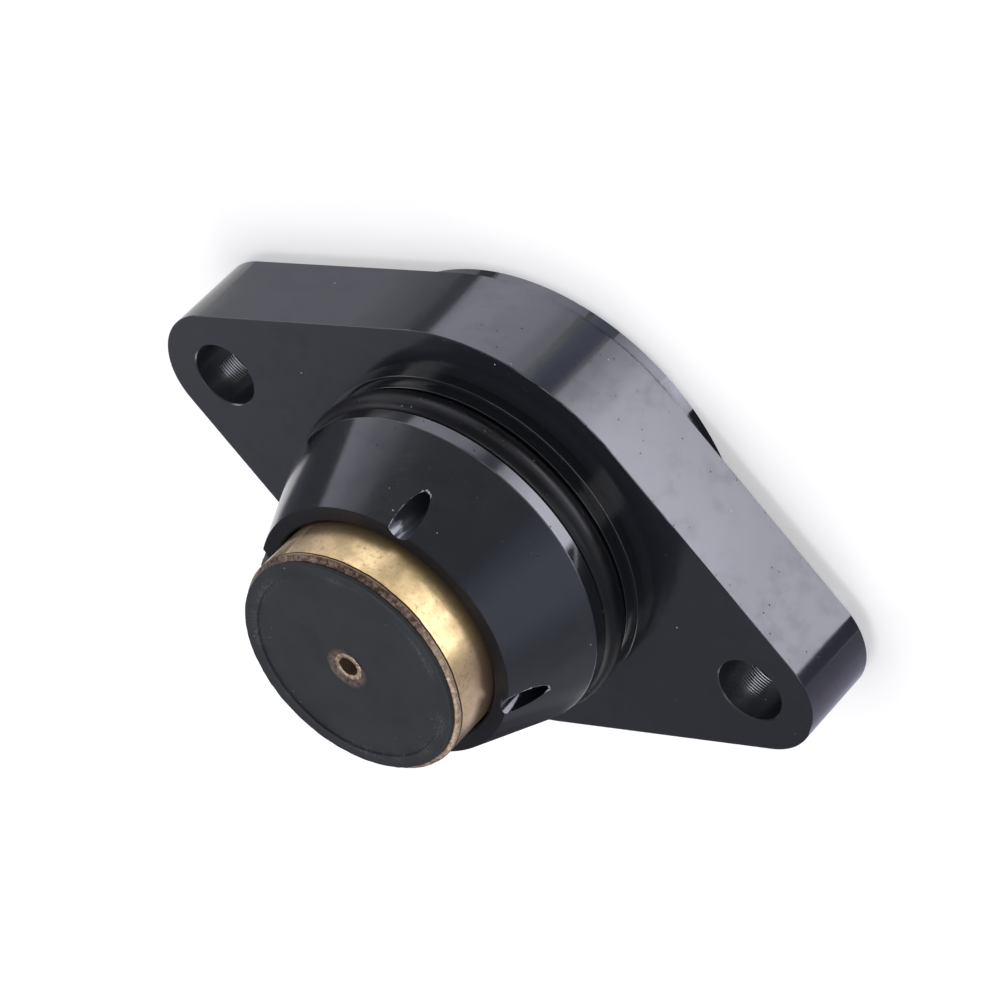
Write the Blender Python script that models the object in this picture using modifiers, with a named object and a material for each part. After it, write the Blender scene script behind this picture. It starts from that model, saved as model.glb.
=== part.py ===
"""Blow off valve with a two hole flange, nose up.

A turned and milled aluminium body carries a brass piston that slides along +Z.
The body is a rhombic flange with a round collar, a seal groove and a cone
shaped nose. Four passages run along the axis through the wall of the cone.
A cap closes the chamber behind the piston from below, held by six screws.
The origin is the centre of the cap's flat rear face, +Z points to the nose
and the long side of the flange lies along X.
"""
import math

import bmesh
import bpy
from mathutils import Matrix, Vector

MM = 0.001

# Clearances, in millimetres like every size below.
GAP = 0.3                # pieces that lie against each other
RUN = 0.2                # piston in its bores
RING_RUN = 0.1           # piston rings in the chamber
OVER = 1.0               # how far a cutter reaches past what it cuts

# Piston.
PISTON_R = 12.5          # visible skirt
PISTON_OUT = 5.9         # how far it stands out of the nose at rest
TRAVEL = 7.5
RIM_SINK = 0.5           # brass rim lies this far below the facing
RIM_IN = 0.4             # its chamfer: this far in and this far down
RIM_DOWN = 0.55
SHOULDER = 0.7           # guide land is this much larger than the skirt
LAND_LEN = 5.5
CUP_WALL = 1.6           # skirt wall behind the face
WEB_T = 2.7              # front wall of the cup
RING_GROOVE_W = 1.7
RING_GROOVE_D = 1.2
RING_WALL = 0.6          # land left in front of the first groove
RING_PITCH = 2.4

# Rubber facing in the piston's front.
FACE_RIM = 0.5           # brass rim round the facing
FACE_T = 1.3
FACE_LIP_W = 1.15
FACE_DISH = 0.22

# Jet in the middle of the piston.
JET_R = 1.55             # shank in the piston's web, and the ring in front
JET_COLLAR = 0.7         # collar's radius over the shank's
JET_COLLAR_T = 0.4
JET_MOUTH_R = 1.15
JET_MOUTH_D = 2.0
JET_BORE_R = 0.5
JET_SINK = 0.05          # front ring lies this far below the facing's dish
JET_EDGE = 0.08
JET_CLEAR = 0.2
JET_REAR = 0.4           # stands this far out behind the web

# Bore, passages and nose of the body.
MOUTH_CHAMFER = 0.25
VENT_R = 0.95
VENT_WALL = 0.5          # wall between the chamber and a passage
VENT_MOUTH_R = 1.25      # wider end of a passage in the cone
VENT_MOUTH_IN = 1.0      # it ends this far in front of the chamber
VENT_COUNT = 4
NOSE_WALL = 1.5          # flat ring round the mouth
NOSE_EDGE = 0.35
NOSE_LEN = 16.6          # nose face above the flange's face
CONE_Z = 7.15            # large end of the cone above the flange's face
CONE_ROUND = 0.3
LAND_W = 1.5             # cylindrical land behind the cone

# Seal groove and its ring.
GROOVE_WALL = 0.5        # wall between a passage and the groove's floor
GROOVE_D = 1.8
STEP_1_Z = 1.15          # collar's first step above the flange's face
STEP_2_Z = 2.25          # rear wall of the seal groove
STEP_1_OUT = 0.7         # collar's radius over the land's
STEP_2_OUT = 0.15
NOSE_RING_R = 1.1        # half of the ring's thickness across the groove's floor

# Flange.
FLANGE_T = 9.8
FLANGE_SIDE = 4.6        # centre arc's radius over the collar's
HOLE_SPACING = 62.3
HOLE_R = 3.53
EAR_WALL = 3.52          # material round a screw hole
EDGE = 0.28              # small bevel on the flange's edges
HOLE_CHAMFER = 0.35

# Cap behind the flange.
CAP_RIM_T = 1.7
CAP_RIM_IN = 0.9         # cap's radius under the flange's centre arc
SPIGOT_LEN = 4.3
SPIGOT_WALL = 0.8        # spigot beyond the passages
DISH_D = 1.0
DISH_WALL = 0.4
POCKET_R = 9.0
POCKET_D = 3.0
CAP_EDGE = 0.3

# Ring seal in the chamfered mouth behind the flange.
CAP_RING_R = 0.45
CAP_RING_SEAT = 1.9

# Screws of the cap.
SCREW_COUNT = 6
SCREW_FIRST = 30.0
SCREW_R = 1.2
SCREW_LEN = 6.6
HEAD_R = 2.3
HEAD_SINK = 0.08
HEX_AF = 1.5
HEX_D = 0.9
SCREW_CLEAR = 0.25
SCREW_IN = 2.5           # screw circle's radius under the cap's

# Chamber: pilot seat, washer, bumper and spring.
SEAT_R = 3.0
SEAT_BORE_R = 1.1
SEAT_COLLAR = 1.2
SEAT_COLLAR_T = 0.7
SEAT_NOZZLE = 0.9
WASHER_T = 0.8
WASHER_MARGIN = 1.0
BUMPER_T = 1.1
BUMPER_W = 2.0
WIRE_R = 0.6
SPRING_CLEAR = 2.3       # between the coils and the cup's wall
ACTIVE_TURNS = 5.5

# Values that follow from the sizes above.
SKIRT_BORE_R = PISTON_R + RUN
LAND_R = PISTON_R + SHOULDER
CHAMBER_R = LAND_R + RUN
CUP_R = PISTON_R - CUP_WALL
VENT_PCR = CHAMBER_R + VENT_WALL + VENT_R
GROOVE_R = VENT_PCR + VENT_R + GROOVE_WALL
NOSE_LAND_R = GROOVE_R + GROOVE_D
STEP_1_R = NOSE_LAND_R + STEP_1_OUT
STEP_2_R = NOSE_LAND_R + STEP_2_OUT
NOSE_R = SKIRT_BORE_R + NOSE_WALL
ARC_R = STEP_1_R + FLANGE_SIDE
EAR_R = HOLE_R + EAR_WALL
CAP_R = ARC_R - CAP_RIM_IN
SPIGOT_R = VENT_PCR + VENT_R + SPIGOT_WALL
COUNTERBORE_R = SPIGOT_R + GAP
SCREW_PCR = CAP_R - SCREW_IN

REAR_Z = CAP_RIM_T + GAP                  # flange's rear face
FACE_Z = REAR_Z + FLANGE_T                # flange's front face
NOSE_Z = FACE_Z + NOSE_LEN
FRONT_Z = NOSE_Z + PISTON_OUT             # piston's front
CAP_FRONT_Z = CAP_RIM_T + SPIGOT_LEN
FLOOR_Z = CAP_FRONT_Z + GAP               # end of the counterbore
BUMPER_TOP_Z = CAP_FRONT_Z + GAP + BUMPER_T
PISTON_END_Z = BUMPER_TOP_Z + GAP + TRAVEL
LAND_TOP_Z = PISTON_END_Z + LAND_LEN
STOP_Z = LAND_TOP_Z + GAP                 # shoulder that stops the piston
FACE_SEAT_Z = FRONT_Z - FACE_T - GAP
WEB_Z = FACE_SEAT_Z - WEB_T
WASHER_TOP_Z = CAP_FRONT_Z + GAP + WASHER_T
SPRING_R = CUP_R - SPRING_CLEAR - WIRE_R
SPRING_LOW_Z = WASHER_TOP_Z + GAP
SPRING_TOP_Z = WEB_Z - GAP

# Facets round the axis.
TURNS = 44
SMALL_TURNS = 20


def clear_scene():
    for obj in list(bpy.data.objects):
        bpy.data.objects.remove(obj, do_unlink=True)


def collection(name):
    made = bpy.data.collections.new(name)
    bpy.context.scene.collection.children.link(made)
    return made


def material(name, hex_colour, roughness, metallic):
    """A Principled material whose colour is given as sRGB."""
    mat = bpy.data.materials.new(name)
    mat.use_nodes = True
    channels = []
    for i in (0, 2, 4):
        value = int(hex_colour[i:i + 2], 16) / 255
        if value <= 0.04045:
            channels.append(value / 12.92)
        else:
            channels.append(((value + 0.055) / 1.055) ** 2.4)
    shader = mat.node_tree.nodes["Principled BSDF"]
    shader.inputs["Base Color"].default_value = (*channels, 1.0)
    shader.inputs["Roughness"].default_value = roughness
    shader.inputs["Metallic"].default_value = metallic
    mat.diffuse_color = (*channels, 1.0)
    return mat


def rounded(points, radii, segments=4):
    """Replace the corners named in radii (index: radius) with small arcs."""
    result = []
    for i, point in enumerate(points):
        if i not in radii:
            result.append(point)
            continue
        here = Vector(point)
        before = (Vector(points[i - 1]) - here).normalized()
        after = (Vector(points[(i + 1) % len(points)]) - here).normalized()
        half = before.angle(after) / 2
        reach = radii[i] / math.tan(half)
        centre = here + (before + after).normalized() * radii[i] / math.sin(half)
        start = here + before * reach - centre
        end = here + after * reach - centre
        for k in range(segments + 1):
            t = k / segments
            spoke = start.lerp(end, t).normalized() * radii[i]
            result.append(tuple(centre + spoke))
    return result


def place(name, mesh, mat, where):
    obj = bpy.data.objects.new(name, mesh)
    where.objects.link(obj)
    if mat is not None:
        mesh.materials.append(mat)
    return obj


def turned(name, profile, where, mat=None, closed=True, steps=TURNS, at=(0.0, 0.0)):
    """Turn a profile of (radius, z) about an axis parallel to Z.

    The profile starts at its top and runs down the outer side. A closed one
    has a bore; an open one starts and ends on the axis.
    """
    mesh = bpy.data.meshes.new(name)
    bm = bmesh.new()
    verts = [bm.verts.new((r * MM, 0.0, z * MM)) for r, z in profile]
    for a, b in zip(verts, verts[1:]):
        bm.edges.new((a, b))
    if closed:
        bm.edges.new((verts[-1], verts[0]))
    bm.to_mesh(mesh)
    bm.free()
    obj = place(name, mesh, mat, where)
    obj.location = (at[0] * MM, at[1] * MM, 0.0)
    screw = obj.modifiers.new("Turn", "SCREW")
    screw.axis = "Z"
    screw.angle = 2 * math.pi
    screw.steps = steps
    screw.render_steps = steps
    screw.use_merge_vertices = True
    screw.merge_threshold = 1e-6
    screw.use_smooth_shade = True
    return obj


def cutter(name, profile, closed=False, steps=TURNS, at=(0.0, 0.0)):
    """A turned cutter; off the axis it is turned so that no facets line up."""
    obj = turned(name, profile, CUTTERS, None, closed, steps, at)
    if at != (0.0, 0.0):
        obj.rotation_euler = (0.0, 0.0, math.radians(7.3))
    obj.hide_render = True
    obj.display_type = "WIRE"
    return obj


def boolean(obj, tool, operation="DIFFERENCE"):
    mod = obj.modifiers.new(tool.name, "BOOLEAN")
    mod.operation = operation
    mod.solver = "EXACT"
    mod.object = tool


def ring_section(centre_r, centre_z, half_r, half_z, sides=10):
    """A round or oval section, from its top down the outer side and back."""
    points = []
    for k in range(sides):
        a = math.pi / 2 - 2 * math.pi * k / sides
        points.append((centre_r + half_r * math.cos(a), centre_z + half_z * math.sin(a)))
    return points


def flange_outline(arc_r, ear_r, half_spacing, arc_steps=22, ear_steps=10):
    """Two ears joined to a centre arc by tangent lines, anticlockwise."""
    lean = math.acos((arc_r - ear_r) / half_spacing)
    points = []
    for k in range(ear_steps + 1):
        a = -lean + 2 * lean * k / ear_steps
        points.append((half_spacing + ear_r * math.cos(a), ear_r * math.sin(a)))
    for k in range(arc_steps + 1):
        a = lean + (math.pi - 2 * lean) * k / arc_steps
        points.append((arc_r * math.cos(a), arc_r * math.sin(a)))
    turned_half = [(-x, -y) for x, y in points]
    return points + turned_half


def plate_from_outline(name, outline, low, high, mat, where):
    """A flat plate from a closed outline, as one welded mesh."""
    curve = bpy.data.curves.new(name, "CURVE")
    curve.dimensions = "2D"
    curve.fill_mode = "BOTH"
    curve.extrude = (high - low) / 2 * MM
    spline = curve.splines.new("POLY")
    spline.points.add(len(outline) - 1)
    for point, (x, y) in zip(spline.points, outline):
        point.co = (x * MM, y * MM, 0.0, 1.0)
    spline.use_cyclic_u = True
    guide = bpy.data.objects.new(name + "_outline", curve)
    bpy.context.scene.collection.objects.link(guide)
    bpy.context.view_layer.update()
    evaluated = guide.evaluated_get(bpy.context.evaluated_depsgraph_get())
    mesh = bpy.data.meshes.new_from_object(evaluated)
    mesh.name = name
    bpy.data.objects.remove(guide, do_unlink=True)
    bm = bmesh.new()
    bm.from_mesh(mesh)
    bmesh.ops.remove_doubles(bm, verts=bm.verts, dist=1e-6)
    bmesh.ops.dissolve_limit(bm, angle_limit=0.001, verts=bm.verts, edges=bm.edges)
    bmesh.ops.translate(bm, verts=bm.verts, vec=(0, 0, (low + high) / 2 * MM))
    bmesh.ops.recalc_face_normals(bm, faces=bm.faces)
    bm.to_mesh(mesh)
    bm.free()
    mesh.materials.clear()
    return place(name, mesh, mat, where)


def finish(obj):
    """Smooth shading with sharp edges kept where the faces turn."""
    weld = obj.modifiers.new("Weld", "WELD")
    weld.merge_threshold = 1e-6


clear_scene()
PARTS = collection("blow_off_valve")
CUTTERS = collection("cutters")

black = material("black anodised aluminium", "1b1b1f", 0.28, 0.6)
brass = material("brass", "d0ae62", 0.34, 1.0)
brass_jet = material("brass jet", "b9935a", 0.4, 1.0)
nitrile = material("nitrile rubber", "1d1d1f", 0.55, 0.0)
facing = material("moulded rubber facing", "232629", 0.7, 0.0)
ptfe = material("ptfe", "d9d5c8", 0.5, 0.0)
steel = material("spring steel", "9aa0a6", 0.3, 1.0)
zinc = material("stainless steel", "a8abb0", 0.28, 1.0)
urethane = material("urethane", "b07a2e", 0.5, 0.0)

# Body: the flange plate, joined to the turned collar and nose.
outline = flange_outline(ARC_R, EAR_R, HOLE_SPACING / 2)
body = plate_from_outline("valve_body", outline, REAR_Z, FACE_Z, black, PARTS)
bevel = body.modifiers.new("Edges", "BEVEL")
bevel.width = EDGE * MM
bevel.segments = 1
bevel.limit_method = "ANGLE"
bevel.angle_limit = math.radians(40)

nose_profile = [
    (0.0, NOSE_Z),
    (NOSE_R + NOSE_EDGE * 0.8, NOSE_Z),
    (NOSE_LAND_R, FACE_Z + CONE_Z),
    (NOSE_LAND_R, FACE_Z + CONE_Z - LAND_W),
    (GROOVE_R, FACE_Z + CONE_Z - LAND_W),
    (GROOVE_R, FACE_Z + STEP_2_Z),
    (STEP_2_R, FACE_Z + STEP_2_Z),
    (STEP_2_R, FACE_Z + STEP_1_Z),
    (STEP_1_R, FACE_Z + STEP_1_Z),
    (STEP_1_R, FACE_Z - FLANGE_T / 3),
    (0.0, FACE_Z - FLANGE_T / 3),
]
nose_profile = rounded(nose_profile, {1: NOSE_EDGE, 2: CONE_ROUND, 3: 0.12}, 3)
nose = cutter("nose_solid", nose_profile)
boolean(body, nose, "UNION")

bore_profile = [
    (0.0, NOSE_Z + OVER),
    (SKIRT_BORE_R + MOUTH_CHAMFER + OVER, NOSE_Z + OVER),
    (SKIRT_BORE_R, NOSE_Z - MOUTH_CHAMFER),
    (SKIRT_BORE_R, STOP_Z),
    (CHAMBER_R, STOP_Z),
    (CHAMBER_R, FLOOR_Z),
    (COUNTERBORE_R, FLOOR_Z),
    (COUNTERBORE_R, REAR_Z + CAP_RING_SEAT),
    (COUNTERBORE_R + CAP_RING_SEAT + OVER, REAR_Z - OVER),
    (0.0, REAR_Z - OVER),
]
boolean(body, cutter("bore_cut", bore_profile))

for k in range(VENT_COUNT):
    a = 2 * math.pi * k / VENT_COUNT
    spot = (VENT_PCR * math.cos(a), VENT_PCR * math.sin(a))
    mouth_end = STOP_Z + VENT_MOUTH_IN
    rod = [(0.0, NOSE_Z + OVER), (VENT_MOUTH_R, NOSE_Z + OVER), (VENT_MOUTH_R, mouth_end),
           (VENT_R, mouth_end - 0.2), (VENT_R, FLOOR_Z - OVER), (0.0, FLOOR_Z - OVER)]
    boolean(body, cutter("vent_cut_%d" % (k + 1), rod, False, 16, spot))

for side, label in ((-1, "left"), (1, "right")):
    flare = HOLE_CHAMFER + OVER
    rod = [(0.0, FACE_Z + OVER), (HOLE_R + flare, FACE_Z + OVER),
           (HOLE_R, FACE_Z - HOLE_CHAMFER), (HOLE_R, REAR_Z + HOLE_CHAMFER),
           (HOLE_R + flare, REAR_Z - OVER), (0.0, REAR_Z - OVER)]
    spot = (side * HOLE_SPACING / 2, 0.0)
    boolean(body, cutter("flange_hole_" + label, rod, False, 32, spot))


def screw_spot(k):
    a = math.radians(SCREW_FIRST) + 2 * math.pi * k / SCREW_COUNT
    return (SCREW_PCR * math.cos(a), SCREW_PCR * math.sin(a))


SCREW_END_Z = HEAD_SINK + SCREW_LEN
for k in range(SCREW_COUNT):
    deep = SCREW_END_Z + 2 * GAP
    wide = SCREW_R + SCREW_CLEAR
    rod = [(0.0, deep + wide * 0.6), (wide, deep), (wide, REAR_Z - OVER), (0.0, REAR_Z - OVER)]
    boolean(body, cutter("tapped_hole_%d" % (k + 1), rod, False, 12, screw_spot(k)))
finish(body)

# Seal ring in the groove behind the cone, squeezed to an oval that fills it.
groove_w = CONE_Z - LAND_W - STEP_2_Z
nose_ring_r = GROOVE_R + GAP + NOSE_RING_R
nose_ring_z = FACE_Z + STEP_2_Z + groove_w / 2
turned("nose_o_ring", ring_section(nose_ring_r, nose_ring_z, NOSE_RING_R, groove_w / 2 - GAP),
       PARTS, nitrile)

# Piston: a cup with its guide land at the open end.
RING_1_TOP = LAND_TOP_Z - RING_WALL
RING_2_TOP = RING_1_TOP - RING_PITCH
RING_FLOOR_R = LAND_R - RING_GROOVE_D
FACE_SEAT_R = PISTON_R - FACE_RIM
JET_HOLE_R = JET_R + GAP
piston_profile = [
    (FACE_SEAT_R, FRONT_Z - RIM_SINK),
    (PISTON_R - RIM_IN, FRONT_Z - RIM_SINK),
    (PISTON_R, FRONT_Z - RIM_SINK - RIM_DOWN),
    (PISTON_R, LAND_TOP_Z),
    (LAND_R, LAND_TOP_Z),
    (LAND_R, RING_1_TOP),
    (RING_FLOOR_R, RING_1_TOP),
    (RING_FLOOR_R, RING_1_TOP - RING_GROOVE_W),
    (LAND_R, RING_1_TOP - RING_GROOVE_W),
    (LAND_R, RING_2_TOP),
    (RING_FLOOR_R, RING_2_TOP),
    (RING_FLOOR_R, RING_2_TOP - RING_GROOVE_W),
    (LAND_R, RING_2_TOP - RING_GROOVE_W),
    (LAND_R, PISTON_END_Z),
    (CUP_R, PISTON_END_Z),
    (CUP_R, WEB_Z + 0.8),
    (CUP_R - 0.8, WEB_Z),
    (JET_HOLE_R, WEB_Z),
    (JET_HOLE_R, FACE_SEAT_Z),
    (FACE_SEAT_R, FACE_SEAT_Z),
]
turned("piston", piston_profile, PARTS, brass)

# Rubber facing: a raised lip round a shallow dish, moulded over the jet's collar.
face_r = FACE_SEAT_R - GAP
jet_collar_r = JET_R + JET_COLLAR
collar_room_z = FACE_SEAT_Z + GAP + JET_COLLAR_T + JET_CLEAR
face_profile = [
    (face_r - 0.2, FRONT_Z),
    (face_r, FRONT_Z - 0.2),
    (face_r, FRONT_Z - FACE_T),
    (jet_collar_r + JET_CLEAR, FRONT_Z - FACE_T),
    (jet_collar_r + JET_CLEAR, collar_room_z),
    (JET_R + JET_CLEAR, collar_room_z),
    (JET_R + JET_CLEAR, FRONT_Z - FACE_DISH),
    (face_r - FACE_LIP_W - 0.15, FRONT_Z - FACE_DISH),
    (face_r - FACE_LIP_W, FRONT_Z),
]
turned("piston_face_seal", face_profile, PARTS, facing)

# Jet: a brass plug with a collar and a wide mouth that ends in a fine bore.
jet_top = FRONT_Z - FACE_DISH - JET_SINK
collar_low = FACE_SEAT_Z + GAP
jet_profile = [
    (JET_R - JET_EDGE, jet_top),
    (JET_R, jet_top - JET_EDGE),
    (JET_R, collar_low + JET_COLLAR_T),
    (jet_collar_r, collar_low + JET_COLLAR_T),
    (jet_collar_r, collar_low),
    (JET_R, collar_low),
    (JET_R, WEB_Z - JET_REAR),
    (JET_BORE_R, WEB_Z - JET_REAR),
    (JET_BORE_R, jet_top - JET_MOUTH_D - JET_MOUTH_R + JET_BORE_R),
    (JET_MOUTH_R, jet_top - JET_MOUTH_D),
    (JET_MOUTH_R, jet_top),
]
turned("pilot_jet", jet_profile, PARTS, brass_jet, True, SMALL_TURNS)

# Rings of the piston.
ring_out = CHAMBER_R - RING_RUN
ring_in = RING_FLOOR_R + GAP
guide_top = RING_1_TOP - GAP
guide_low = RING_1_TOP - RING_GROOVE_W + GAP
guide_profile = [(ring_out, guide_top), (ring_out, guide_low),
                 (ring_in, guide_low), (ring_in, guide_top)]
turned("piston_guide_ring", guide_profile, PARTS, ptfe)
seal_half = min((ring_out - ring_in) / 2, RING_GROOVE_W / 2 - GAP)
seal_z = RING_2_TOP - RING_GROOVE_W / 2
turned("piston_seal_ring", ring_section(ring_out - seal_half, seal_z, seal_half, seal_half, 6),
       PARTS, nitrile)

# Cap: rim and spigot, dished behind so that the passages meet the pilot seat.
SEAT_HOLE_R = SEAT_R + GAP
dish_r = SPIGOT_R - DISH_WALL
cap_profile = [
    (SPIGOT_R - 0.3, CAP_FRONT_Z),
    (SPIGOT_R, CAP_FRONT_Z - 0.3),
    (SPIGOT_R, CAP_RIM_T),
    (CAP_R, CAP_RIM_T),
    (CAP_R, CAP_EDGE),
    (CAP_R - CAP_EDGE, 0.0),
    (dish_r, 0.0),
    (dish_r, DISH_D),
    (POCKET_R, DISH_D),
    (POCKET_R, POCKET_D),
    (SEAT_HOLE_R, POCKET_D),
    (SEAT_HOLE_R, CAP_FRONT_Z),
]
cap = turned("rear_cap", cap_profile, PARTS, black)
for k in range(VENT_COUNT):
    a = 2 * math.pi * k / VENT_COUNT
    spot = (VENT_PCR * math.cos(a), VENT_PCR * math.sin(a))
    rod = [(0.0, CAP_FRONT_Z + OVER), (VENT_R, CAP_FRONT_Z + OVER),
           (VENT_R, -OVER), (0.0, -OVER)]
    boolean(cap, cutter("cap_vent_%d" % (k + 1), rod, False, 12, spot))
for k in range(SCREW_COUNT):
    shank = SCREW_R + SCREW_CLEAR
    head = HEAD_R + SCREW_CLEAR
    rod = [(0.0, CAP_RIM_T + OVER), (shank, CAP_RIM_T + OVER), (shank, HEAD_SINK + head - shank),
           (head, HEAD_SINK), (head, -OVER), (0.0, -OVER)]
    boolean(cap, cutter("cap_screw_hole_%d" % (k + 1), rod, False, 14, screw_spot(k)))
finish(cap)

# Ring seal at the root of the spigot.
cap_ring_r = SPIGOT_R + GAP + CAP_RING_R
cap_ring_z = CAP_RIM_T + GAP + CAP_RING_R
turned("cap_o_ring", ring_section(cap_ring_r, cap_ring_z, CAP_RING_R, CAP_RING_R, 6),
       PARTS, nitrile)

# Pilot seat: a drilled bush with a nozzle towards the pocket.
seat_low = CAP_FRONT_Z + GAP
seat_top = seat_low + SEAT_COLLAR_T
seat_profile = [
    (SEAT_R + SEAT_COLLAR, seat_top),
    (SEAT_R + SEAT_COLLAR, seat_low),
    (SEAT_R, seat_low),
    (SEAT_R, POCKET_D),
    (SEAT_BORE_R + 0.6, POCKET_D - SEAT_NOZZLE),
    (SEAT_BORE_R, POCKET_D - SEAT_NOZZLE),
    (SEAT_BORE_R, seat_top),
]
turned("pilot_seat", seat_profile, PARTS, brass_jet, True, SMALL_TURNS)

# Screws: one countersunk screw with a hexagon socket, used six times.
screw_profile = [
    (0.0, SCREW_END_Z),
    (SCREW_R - 0.25, SCREW_END_Z),
    (SCREW_R, SCREW_END_Z - 0.25),
    (SCREW_R, HEAD_SINK + HEAD_R - SCREW_R),
    (HEAD_R, HEAD_SINK + 0.12),
    (HEAD_R, HEAD_SINK),
    (0.0, HEAD_SINK),
]
pattern = turned("screw_pattern", screw_profile, CUTTERS, zinc, False, 12)
socket_r = HEX_AF / math.sqrt(3)
socket = [(0.0, HEAD_SINK + HEX_D), (socket_r, HEAD_SINK + HEX_D),
          (socket_r, HEAD_SINK - OVER), (0.0, HEAD_SINK - OVER)]
boolean(pattern, cutter("socket_cut", socket, False, 6))
finish(pattern)
bpy.context.view_layer.update()
screw_mesh = bpy.data.meshes.new_from_object(
    pattern.evaluated_get(bpy.context.evaluated_depsgraph_get()))
screw_mesh.name = "cap_screw"
bpy.data.objects.remove(pattern, do_unlink=True)
for k in range(SCREW_COUNT):
    screw = bpy.data.objects.new("cap_screw_%d" % (k + 1), screw_mesh)
    PARTS.objects.link(screw)
    x, y = screw_spot(k)
    turn = math.radians(SCREW_FIRST + 37.0 * k)
    screw.matrix_world = Matrix.Translation((x * MM, y * MM, 0.0)) @ Matrix.Rotation(turn, 4, "Z")

# Washer under the spring and bumper under the piston, both on the cap.
washer_in = SPRING_R - WIRE_R - WASHER_MARGIN
washer_out = SPRING_R + WIRE_R + WASHER_MARGIN
washer_low = CAP_FRONT_Z + GAP
washer_profile = [(washer_out, WASHER_TOP_Z), (washer_out, washer_low),
                  (washer_in, washer_low), (washer_in, WASHER_TOP_Z)]
turned("spring_seat", washer_profile, PARTS, zinc, True, 36)
bumper_out = CHAMBER_R - GAP
bumper_profile = [(bumper_out - 0.2, BUMPER_TOP_Z), (bumper_out, BUMPER_TOP_Z - 0.2),
                  (bumper_out, washer_low), (bumper_out - BUMPER_W, washer_low),
                  (bumper_out - BUMPER_W, BUMPER_TOP_Z)]
turned("bump_stop", bumper_profile, PARTS, urethane)


def spring_points():
    """Centre line of the spring: a closed turn at each end, open ones between."""
    low = SPRING_LOW_Z + WIRE_R
    high = SPRING_TOP_Z - WIRE_R
    closed_rise = 2 * WIRE_R + 0.2
    pitch = (high - low - 2 * closed_rise) / ACTIVE_TURNS
    per_turn = 13
    total = ACTIVE_TURNS + 2
    count = round(total * per_turn)
    points = []
    for k in range(count + 1):
        turn = total * k / count
        if turn <= 1:
            z = low + closed_rise * turn
        elif turn >= total - 1:
            z = high - closed_rise * (total - turn)
        else:
            z = low + closed_rise + pitch * (turn - 1)
        a = 2 * math.pi * turn
        points.append((SPRING_R * math.cos(a), SPRING_R * math.sin(a), z))
    return points


wire = bpy.data.curves.new("return_spring", "CURVE")
wire.dimensions = "3D"
wire.bevel_depth = WIRE_R * MM
wire.bevel_resolution = 2
wire.use_fill_caps = True
coil = spring_points()
spline = wire.splines.new("POLY")
spline.points.add(len(coil) - 1)
for point, (x, y, z) in zip(spline.points, coil):
    point.co = (x * MM, y * MM, z * MM, 1.0)
wire.materials.append(steel)
spring = bpy.data.objects.new("return_spring", wire)
PARTS.objects.link(spring)
weld = spring.modifiers.new("Weld", "WELD")
weld.merge_threshold = 1e-6

# Shading: smooth walls, sharp edges.
bpy.context.view_layer.update()
for obj in list(PARTS.objects) + list(CUTTERS.objects):
    if obj.type == "MESH":
        obj.data.shade_smooth()
        obj.data.set_sharp_from_angle(angle=math.radians(32))
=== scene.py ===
# %% [markdown]
# # A blow off valve, nose up
# The CAD model is loaded as a frame: every piece knows its place and the body it
# moves with. The cells below dress it. Each visible piece of the frame is made again
# with round walls and small edge radii, because a dark glossy part shows every facet.

# %% Load the frame and measure it
import math

import bmesh
import bpy
from mathutils import Matrix, Vector, noise


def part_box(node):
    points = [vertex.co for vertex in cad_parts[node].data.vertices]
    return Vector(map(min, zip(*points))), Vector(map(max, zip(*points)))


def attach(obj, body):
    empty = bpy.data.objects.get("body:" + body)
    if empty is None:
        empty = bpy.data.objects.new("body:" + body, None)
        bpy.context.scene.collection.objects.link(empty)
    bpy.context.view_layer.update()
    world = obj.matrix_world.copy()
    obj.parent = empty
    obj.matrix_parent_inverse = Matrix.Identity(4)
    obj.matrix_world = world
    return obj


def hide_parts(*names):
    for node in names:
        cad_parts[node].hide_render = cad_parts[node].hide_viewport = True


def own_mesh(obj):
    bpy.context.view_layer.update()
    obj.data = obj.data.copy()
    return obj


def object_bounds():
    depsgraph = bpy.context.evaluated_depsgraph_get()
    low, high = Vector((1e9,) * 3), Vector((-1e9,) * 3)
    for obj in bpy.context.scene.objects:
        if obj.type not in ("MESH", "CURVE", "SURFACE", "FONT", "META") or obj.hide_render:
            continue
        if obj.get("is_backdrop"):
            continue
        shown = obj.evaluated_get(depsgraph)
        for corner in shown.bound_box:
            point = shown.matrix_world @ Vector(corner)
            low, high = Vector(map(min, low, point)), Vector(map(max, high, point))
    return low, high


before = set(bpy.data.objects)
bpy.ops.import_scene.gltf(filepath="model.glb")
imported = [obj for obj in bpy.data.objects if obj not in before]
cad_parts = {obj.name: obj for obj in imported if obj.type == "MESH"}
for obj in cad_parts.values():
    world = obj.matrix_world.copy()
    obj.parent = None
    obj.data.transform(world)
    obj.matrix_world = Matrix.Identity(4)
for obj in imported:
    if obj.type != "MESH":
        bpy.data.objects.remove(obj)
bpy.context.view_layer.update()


def plain_box():
    low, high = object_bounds()
    return [list(low), list(high)]


# %% [markdown]
# ## Sizes
# The pieces take their places from the frame's boxes. Only what a box can't tell,
# such as a wall or the width of a groove, is a number here, in millimetres.

# %% Read the main sizes off the frame
MM = 0.001
PLATE_T = 9.8


def box_mm(node):
    """The low and the high corner of a node's box, in mm."""
    low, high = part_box(node)
    return Vector(low) / MM, Vector(high) / MM


body_low, body_high = box_mm("valve_body")
piston_low, piston_high = box_mm("piston")
cap_high = box_mm("rear_cap")[1]
ring_high = box_mm("nose_o_ring")[1]
jet_low = box_mm("pilot_jet")[0]

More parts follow.
